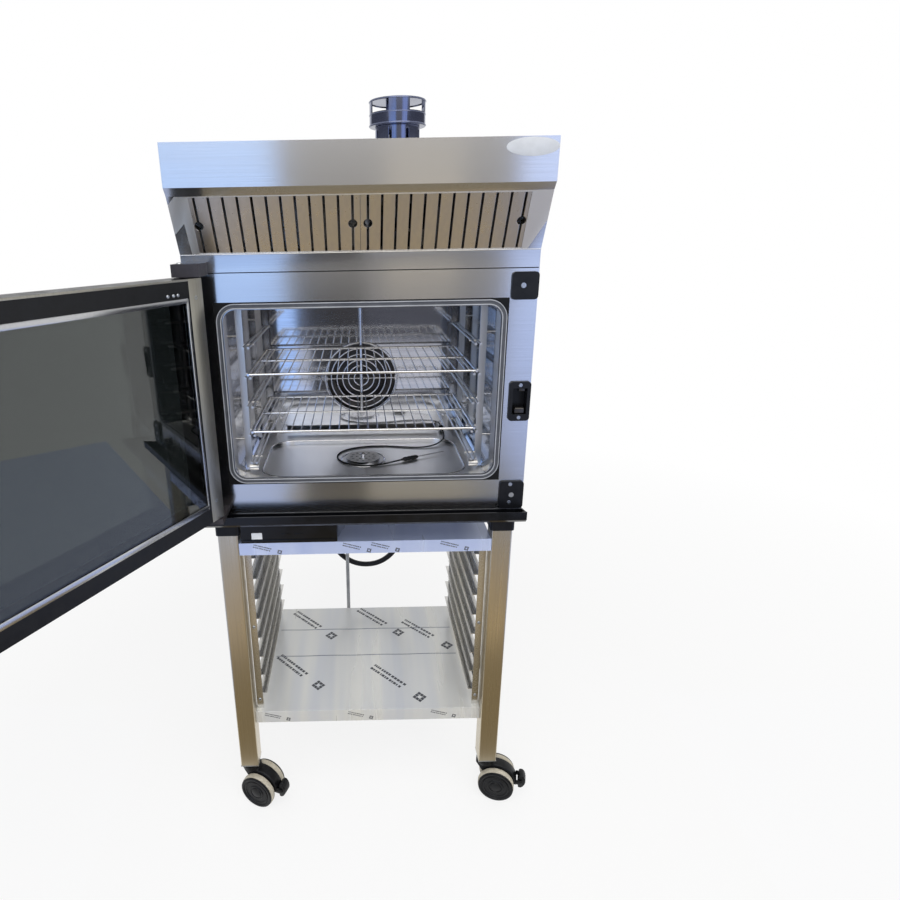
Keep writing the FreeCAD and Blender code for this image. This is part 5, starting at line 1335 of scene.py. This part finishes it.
@dataclass
class Cavity:
    """The oven's inside: liner, seal, fan, grille, racks and drain."""

    seal_width: float = 0.0125
    seal_corner: float = 0.028
    seat_gap: float = 0.0026
    seat_faces: tuple[float, float] = (0.0004, 0.0018)
    ceiling_height: float = 1.412
    ceiling_studs: tuple[Point, ...] = ((-0.2, 0.06), (-0.2, 0.33), (0.2, 0.06), (0.2, 0.33))
    baffle_inset: float = 0.016
    baffle_ends: tuple[float, float] = (0.05, 0.03)
    floor_height: float = 0.980
    sump_low: tuple[float, float] = (-0.255, 0.060)
    sump_high: tuple[float, float] = (0.255, 0.330)
    sump_corner: float = 0.060
    drain_ring: float = 0.0562
    sump_drop: float = 0.008

    def build(self) -> None:
        """Dresses the inside and adds the seal with its seat, the sump's edges and the studs."""
        dress(CAVITY, "cavity_liner", "drain_strainer")
        dress(BAFFLE, "fan_baffle", edge=0.0005)
        dress(WIRE, "fan_grille", "lower_rack", "upper_rack", "steam_pipe")
        dress(LADDER, "rack_ladder_left", "rack_ladder_right")
        dress(FAN, "fan_wheel")
        dress(HEATER, "heating_element")
        self.fit_seal()
        self.press_sump()
        self.fix_baffle()

    def fit_seal(self) -> None:
        """Sweeps the silicone seal round the mouth, over its black seat."""
        low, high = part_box("door_gasket")
        w = self.seal_width
        loop = [(UPRIGHT @ spot, UPRIGHT @ out) for spot, out in
                rounded_loop((low.x + w / 2, low.z + w / 2), (high.x - w / 2, high.z - w / 2),
                             self.seal_corner + w / 2, steps=10)]
        section = [(0.0060, 0.0018), (-0.0060, 0.0018), (-0.0062, -0.0012), (-0.0052, -0.0022),
                   (-0.0030, -0.0016), (0.0, -0.0008), (0.0030, -0.0012), (0.0050, -0.0016),
                   (0.0062, -0.0006)]
        seal = Shape()
        seal.swept(section, loop, Vector(BACK))
        seal.piece("mouth_seal", SILICONE, "oven", ["door_gasket"], smooth=60)
        # The two lips' paler colour is a painted highlight along their ridges
        lips = Shape()
        for out, ahead, r in ((-0.0044, -0.0030, 0.0013), (0.0046, -0.0022, 0.0011)):
            lips.swept(oval((out, ahead), (r, 1.3 * r), 10), loop, Vector(BACK))
        lips.piece("seal_lips", LIP_HIGHLIGHT_SILICONE, "oven", smooth=60)
        seat = Shape()
        gap = self.seat_gap
        near, far = self.seat_faces
        outer = [UPRIGHT @ spot for spot, _ in
                 rounded_loop((low.x - gap, low.z - gap), (high.x + gap, high.z + gap), 0.0008, steps=10)]
        inner = [spot + out * (w / 2 - 0.002) for spot, out in loop]
        lines = [[(spot.x, y, spot.z) for spot in line]
                 for line, y in ((outer, near), (inner, near), (inner, far), (outer, far))]
        seat.rings(list(zip(*lines)), looped=True)
        seat.piece("seal_seat", SEAT_RUBBER, "oven")

    def press_sump(self) -> None:
        """Runs the bright pressed edge round the sump and a ring round its strainer."""
        section = [(0.0032, 0.0), (0.0024, 0.0010), (0.0, 0.0016), (-0.0012, 0.0010), (-0.0014, -0.0020),
                   (0.0, -0.0020)]
        low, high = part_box("drain_strainer")
        middle, r = (low + high) / 2, self.drain_ring
        sump = rounded_loop(self.sump_low, self.sump_high, self.sump_corner, steps=12)
        drain = rounded_loop((middle.x - r, middle.y - r), (middle.x + r, middle.y + r), r - 0.0001,
                             steps=12)
        edges = Shape()
        for loop, height in ((sump, self.floor_height), (drain, self.floor_height - self.sump_drop)):
            edges.swept(section, [(spot + Vector((0, 0, height)), out) for spot, out in loop], Vector(UP))
        edges.piece("sump_edges", WIRE, "oven", smooth=60)

    def fix_baffle(self) -> None:
        """Sets the baffle's screws, the ceiling studs and the strainer's knob."""
        studs = Shape()
        low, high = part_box("fan_baffle")
        for x in (low.x + self.baffle_inset, high.x - self.baffle_inset):
            for z in (low.z + self.baffle_ends[0], high.z - self.baffle_ends[1]):
                studs.screw((x, low.y, z), FRONT, BOLT)
        for x, y in self.ceiling_studs:
            studs.screw((x, y, self.ceiling_height), DOWN, BOLT)
        strainer_low, strainer_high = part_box("drain_strainer")
        middle = (strainer_low + strainer_high) / 2
        knob = Matrix.Translation((middle.x, middle.y, strainer_high.z))
        studs.turned([(0.0, -0.001), (0.006, -0.001), (0.006, 0.001), (0.004, 0.002), (0.004, 0.004),
                      (0.008, 0.006), (0.008, 0.008), (0.006, 0.009), (0.0, 0.009)], knob, sides=32)
        studs.piece("cavity_studs", WIRE, "oven")


@dataclass
class FrontFittings:
    """The black pieces on the front: corner blocks, keeper, plunger, gutter and drawer."""

    label_size: tuple[float, float] = (0.026, 0.017)
    label_place: tuple[float, float] = (0.039, 0.019)
    top_screw: tuple[float, float] = (-0.004, -0.028)
    top_screw_radius: float = 0.0055
    block_screws: tuple[Point, ...] = ((0.3426, 0.9765), (0.3421, 0.9307))
    keeper_inset: float = 0.008
    keeper_screw_radius: float = 0.0042
    # The closed door clears the blocks by 0.5 mm, so their screws are flat
    head: float = 0.00015
    strike_back: float = 0.014

    def build(self) -> None:
        """Dresses the fittings and adds their screws, the keeper's strike and the drawer's lip."""
        dress(PLASTIC, "corner_blocks", edge=0.0012)
        dress(PLASTIC, "latch_keeper", edge=0.0005)
        dress(ACETAL, "door_plunger", edge=0.001)
        dress(TRAY_PLASTIC, "drip_gutter", edge=0.0003)
        dress(TRAY_PLASTIC, "drip_drawer", edge=0.001)
        self.fit_blocks()
        self.fit_drawer()

    def fit_blocks(self) -> None:
        """Sets the bright flat screws and the keeper's steel strike."""
        low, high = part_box("corner_blocks")
        keeper_low, keeper_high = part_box("latch_keeper")
        screws = Shape()
        x, z = (low.x + high.x) / 2 + self.top_screw[0], high.z + self.top_screw[1]
        screws.screw((x, low.y, z), FRONT, self.top_screw_radius, self.head)
        for block_x, block_z in self.block_screws:
            screws.screw((block_x, low.y, block_z), FRONT, SCREW, self.head)
        kx = (keeper_low.x + keeper_high.x) / 2
        for z in (keeper_low.z + self.keeper_inset, keeper_high.z - self.keeper_inset):
            screws.screw((kx, keeper_low.y, z), FRONT, self.keeper_screw_radius, self.head)
        screws.piece("fitting_screws", ZINC, "oven")
        strike = Shape()
        middle = (keeper_low.z + keeper_high.z) / 2
        back = self.strike_back
        strike.block((kx - 0.010, keeper_low.y + 0.003, middle - 0.0295),
                     (kx + 0.013, back, middle - 0.0155), edge=0.003, steps=4)
        strike.block((kx - 0.002, keeper_low.y + 0.006, middle + 0.0215),
                     (kx + 0.013, back, middle + 0.0295), edge=0.002, steps=4)
        strike.piece("keeper_strike", FAN, "oven")

    def fit_drawer(self) -> None:
        """Adds the drawer's pull lip, its ribs and a blank label."""
        low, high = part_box("drip_drawer")
        front = Shape()
        start, end, root = low.x + 0.004, high.x - 0.004, low.y + 0.002
        front.block((start, low.y - 0.0035, high.z - 0.012), (end, root, high.z - 0.006), edge=0.0015)
        front.block((start, low.y - 0.0022, low.z + 0.004), (end, root, low.z + 0.009), edge=0.001)
        for share in (0.42, 0.56):
            x = low.x + (high.x - low.x) * share
            front.block((x, low.y - 0.0012, low.z + 0.022), (x + 0.022, low.y + 0.001, low.z + 0.025),
                        edge=0.0005)
        front.piece("drawer_lip", TRAY_PLASTIC, "drawer")
        label = Shape()
        width, height = self.label_size
        x, z = low.x + self.label_place[0], low.z + self.label_place[1]
        label.block((x - width / 2, low.y - 0.0004, z - height / 2),
                    (x + width / 2, low.y + 0.0004, z + height / 2), edge=0.0002)
        label.piece("blank_drawer_label", LABEL, "drawer")


@dataclass
class Door:
    """The glazed door, drawn closed about its hinge line and then swung to its open place."""

    left: float = -0.008
    right: float = 0.732
    low: float = 0.936
    high: float = 1.462
    inner: float = 0.042
    outer: float = -0.014
    stile: float = 0.038
    # Trims stand this proud of the frame, because the closed door leaves little room
    proud: float = 0.00012
    cover_depth: float = 0.0004
    bead_depth: float = 0.0018
    screw_heights: tuple[float, float] = (0.983, 1.425)
    screw_insets: tuple[float, float] = (0.020, 0.012)
    vent_screws: tuple[float, ...] = (0.061, 0.073, 0.088)
    vent_height: float = 1.4335
    vent_screw_radius: float = 0.0035
    border_inset: float = 0.002
    window: tuple[float, float, float, float] = (0.035, 0.689, 0.971, 1.425)
    glass_face: float = -0.020
    handle_x: float = 0.713
    handle_z: float = 1.1775
    lever_above: float = 0.018
    lever_below: float = 0.190
    lever_steps: int = 24
    lever_sides: int = 28
    # How square the lever's section is: 1 for an ellipse, 0 for a box
    lever_power: float = 0.62

    def build(self) -> None:
        """Dresses the door and adds its trims, printed border, handle and hinge bolts."""
        hinge = joint("door_hinge")
        swung = Matrix.Rotation(math.radians(-hinge["range_deg"][1]), 4, "Z")
        self.place = Matrix.Translation((hinge["pos_m"][0], hinge["pos_m"][1], 0)) @ swung
        dress(PLASTIC, "door_frame", edge=0.001)
        dress(CLEAR_GLASS, "inner_glass", edge=0.0006)
        dress(TINTED_GLASS, "outer_glass", edge=0.0012)
        dress(LATCH, "door_latch", edge=0.0006)
        dress(HINGE_PAINT, "hinge_brackets", edge=0.0015)
        self.trim_inside()
        self.print_border()
        self.shape_handle()
        self.fit_hinges()

    def trim_inside(self) -> None:
        """Covers the stiles with brushed steel and runs the steel beads along the window."""
        face = self.inner
        top = face + self.proud
        x0, x1, z0, z1 = self.window
        covers = Shape()
        left_edge, right_edge = self.left + self.stile, self.right - self.stile
        for start, end, foot in ((self.left, left_edge, self.low), (right_edge, self.right, self.low),
                                 (left_edge, right_edge, self.high - 0.004)):
            covers.block((start, face - self.cover_depth, foot), (end, top, self.high), self.place,
                         edge=0.0001)
        covers.piece("stile_covers", STILE, "door")
        beads = Shape()
        back = face - self.bead_depth
        for low, high in (((x0, back, z1 - 0.009), (x1, top, z1 + 0.001)),
                          ((x0, back, z0 - 0.001), (x1, top, z0 + 0.011)),
                          ((x0 - 0.001, back, z0), (x0 + 0.005, top, z1)),
                          ((x1 - 0.005, back, z0), (x1 + 0.001, top, z1))):
            beads.block(low, high, self.place, edge=0.0006)
        beads.piece("window_beads", LATCH, "door")
        screws = Shape()
        inward = self.place.to_3x3() @ Vector(BACK)
        for x in (self.left + self.screw_insets[0], self.right - self.screw_insets[1]):
            for z in self.screw_heights:
                spot = self.place @ Vector((x, face + self.proud / 2, z))
                screws.screw(spot, inward, SCREW, self.proud)
        for x in self.vent_screws:
            screws.screw(self.place @ Vector((x, face, self.vent_height)), inward, self.vent_screw_radius)
        screws.piece("door_screws", ZINC, "door")

    def print_border(self) -> None:
        """Prints the outer glass's black border on its back face."""
        x0, x1, z0, z1 = self.window
        border = Shape()
        y0, y1 = self.outer, self.outer + 0.0006
        inset = self.border_inset
        left, right = self.left + inset, self.right - inset
        for low, high in (((left, y0, self.low + inset), (right, y1, z0)),
                          ((left, y0, z1), (right, y1, self.high - inset)),
                          ((left, y0, z0), (x0, y1, z1)),
                          ((x1, y0, z0), (right, y1, z1))):
            border.block(low, high, self.place, edge=0)
        border.piece("printed_glass_border", PLASTIC, "door")

    def shape_handle(self) -> None:
        """Lofts the lever with a soft grip on its round hub."""
        front = self.glass_face - 0.002
        handle = Shape()
        hub = self.place @ facing((self.handle_x, front, self.handle_z), FRONT)
        handle.turned([(0.0, 0.0), (0.0165, 0.0), (0.018, 0.0015), (0.018, 0.006), (0.0165, 0.008),
                       (0.0155, 0.020), (0.0165, 0.027), (0.0, 0.027)], hub)
        rings = []
        top, bottom = self.handle_z + self.lever_above, self.handle_z - self.lever_below
        for i in range(self.lever_steps + 1):
            share = i / self.lever_steps
            end = min(share, 1 - share)
            taper = math.sqrt(max(1 - (1 - min(end / 0.06, 1)) ** 2, 0.03))
            wide = (0.0130 - 0.0022 * math.sin(math.pi * share)) * taper
            deep = (0.0078 - 0.0010 * share) * taper
            middle = front - 0.034 + 0.0012 * math.cos(math.pi * share)
            height = top + (bottom - top) * share
            rings.append([(self.handle_x + wide * math.copysign(abs(c) ** self.lever_power, c),
                           middle + deep * math.copysign(abs(s) ** self.lever_power, s), height)
                          for c, s in oval((0.0, 0.0), (1.0, 1.0), self.lever_sides)])
        handle.rings(rings, self.place)
        handle.piece("lever_handle", PLASTIC, "handle", ["door_handle"], smooth=50)
        rose = Shape()
        seat = self.place @ facing((self.handle_x, self.glass_face, self.handle_z), FRONT)
        rose.turned([(0.0085, 0.0), (0.0235, 0.0), (0.0235, 0.0008), (0.0225, 0.0014), (0.0185, 0.0016),
                     (0.0085, 0.0016)], seat, looped=True)
        rose.piece("handle_rose", LATCH, "door")

    def fit_hinges(self) -> None:
        """Adds the hinge plate on the front frame and the hinge bolts."""
        low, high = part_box("hinge_brackets")
        plate = Shape()
        plate.block((low.x + 0.001, -0.0035, high.z - 0.084), (low.x + 0.019, -0.0002, high.z - 0.026),
                    edge=0.0012)
        plate.piece("hinge_plate", HINGE_PAINT, "oven")
        bolts = Shape()
        hinge = joint("door_hinge")["pos_m"]
        bolts.screw((hinge[0], hinge[1] - 0.012, high.z), UP, BOLT)
        bolts.screw((hinge[0], hinge[1], low.z), DOWN, BOLT)
        bolts.piece("hinge_bolts", ZINC, "oven")


@dataclass
class Hood:
    """The extractor hood: brushed shell, slotted filters, blank oval label and black flue."""

    hem_radius: float = 0.0010
    hem_place: tuple[float, float] = (-0.0006, 1.5035)
    # Half depth of the dark strip that paints the seam's shadow
    seam_shadow_half: float = 0.0006
    top_screws: tuple[float, ...] = (-0.3, -0.1, 0.1, 0.3)
    screw_inset: float = 0.02
    side_screws: tuple[float, float] = (1.49, 1.66)
    side_inset: float = 0.03
    neck_radius: float = 0.050
    label_place: tuple[float, float] = (0.325, 1.689)
    label_half: tuple[float, float] = (0.050, 0.0165)

    def build(self) -> None:
        """Dresses the hood and adds its hem, a dark strip of painted shadow along its foot, screws, label
        and flue beads.
        """
        dress(HOOD, "hood_shell", edge=0.0005)
        dress(FILTER, "hood_filters", edge=0.0005)
        dress(MOTOR, "hood_motor", edge=0.0008)
        dress(CAVITY, "hood_fan")
        dress(FLUE, "flue_neck", "flue_cap", edge=0.0008)
        self.hem_strip()
        self.stick_label()
        self.bead_flue()

    def hem_strip(self) -> None:
        """Rolls the hem over the front strip, lays a dark strip of painted shadow along its foot and sets
        the shell's screws.
        """
        low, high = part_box("hood_shell")
        hem = Shape()
        ring = oval(self.hem_place, (self.hem_radius, self.hem_radius), 12)
        hem.rings([[(x, y, z) for y, z in ring] for x in (low.x, high.x)])
        hem.piece("rolled_hem", CASING, "oven")
        # A dark strip along the joint with the oven: painted shadow of the seam
        seal = Shape()
        seal.block((low.x + 0.004, -self.seam_shadow_half, low.z - 0.0012),
                   (high.x - 0.002, self.seam_shadow_half, low.z + 0.0008), edge=0.0003)
        seal.piece("hood_seam_shadow_strip", SEAT_RUBBER, "oven")
        screws = Shape()
        for x in self.top_screws:
            screws.screw((x, high.y - self.screw_inset, high.z), UP, SCREW)
            screws.screw((x, high.y, high.z - self.screw_inset), BACK, SCREW)
        for z in self.side_screws:
            for x, toward in ((low.x, LEFT), (high.x, RIGHT)):
                screws.screw((x, high.y - self.side_inset, z), toward, SCREW)
                screws.screw((x, self.side_inset, z), toward, SCREW)
        screws.piece("hood_screws", ZINC, "oven")

    def stick_label(self) -> None:
        """Sticks a blank oval label on the fascia's right end."""
        low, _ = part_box("hood_shell")
        label = Shape()
        label.plate(oval(self.label_place, self.label_half, 64), -low.y - 0.0002, -low.y + 0.0005, UPRIGHT,
                    edge=0.0002)
        label.piece("blank_oval_label", STICKER, "oven")

    def bead_flue(self) -> None:
        """Rolls beads round the flue cap's rims and a collar at the neck's foot."""
        beads = Shape()
        low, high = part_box("flue_cap")
        middle = (low + high) / 2
        radius = (high.x - low.x) / 2
        neck_low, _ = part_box("flue_neck")
        for r, z, thick in ((radius, high.z - 0.0022, 0.0016), (radius, low.z + 0.0022, 0.0016),
                            (radius, high.z - 0.0285, 0.0010),
                            (self.neck_radius, neck_low.z + 0.0030, 0.0024)):
            beads.turned(oval((r, 0.0), (thick, thick), 10), Matrix.Translation((middle.x, middle.y, z)),
                         sides=64, looped=True)
        beads.turned([(0.0, 0.0), (radius - 0.004, 0.0), (radius - 0.010, 0.0014), (radius * 0.5, 0.0030),
                      (0.0, 0.0036)], Matrix.Translation((middle.x, middle.y, high.z - 0.0004)), sides=64)
        beads.piece("flue_beads", FLUE, "oven")


def main() -> None:
    """Builds the set, the cords and each sub-assembly in order."""
    logging.basicConfig(level=logging.INFO, format="%(message)s")
    Studio().build()
    DrainHose().build()
    CoreProbe().build()
    Stand().build()
    for corner in ("front_left", "front_right", "rear_left", "rear_right"):
        Caster(corner, corner.startswith("front")).build()
    Casing().build()
    Cavity().build()
    FrontFittings().build()
    Door().build()
    Hood().build()


if __name__ == "__main__":
    main()
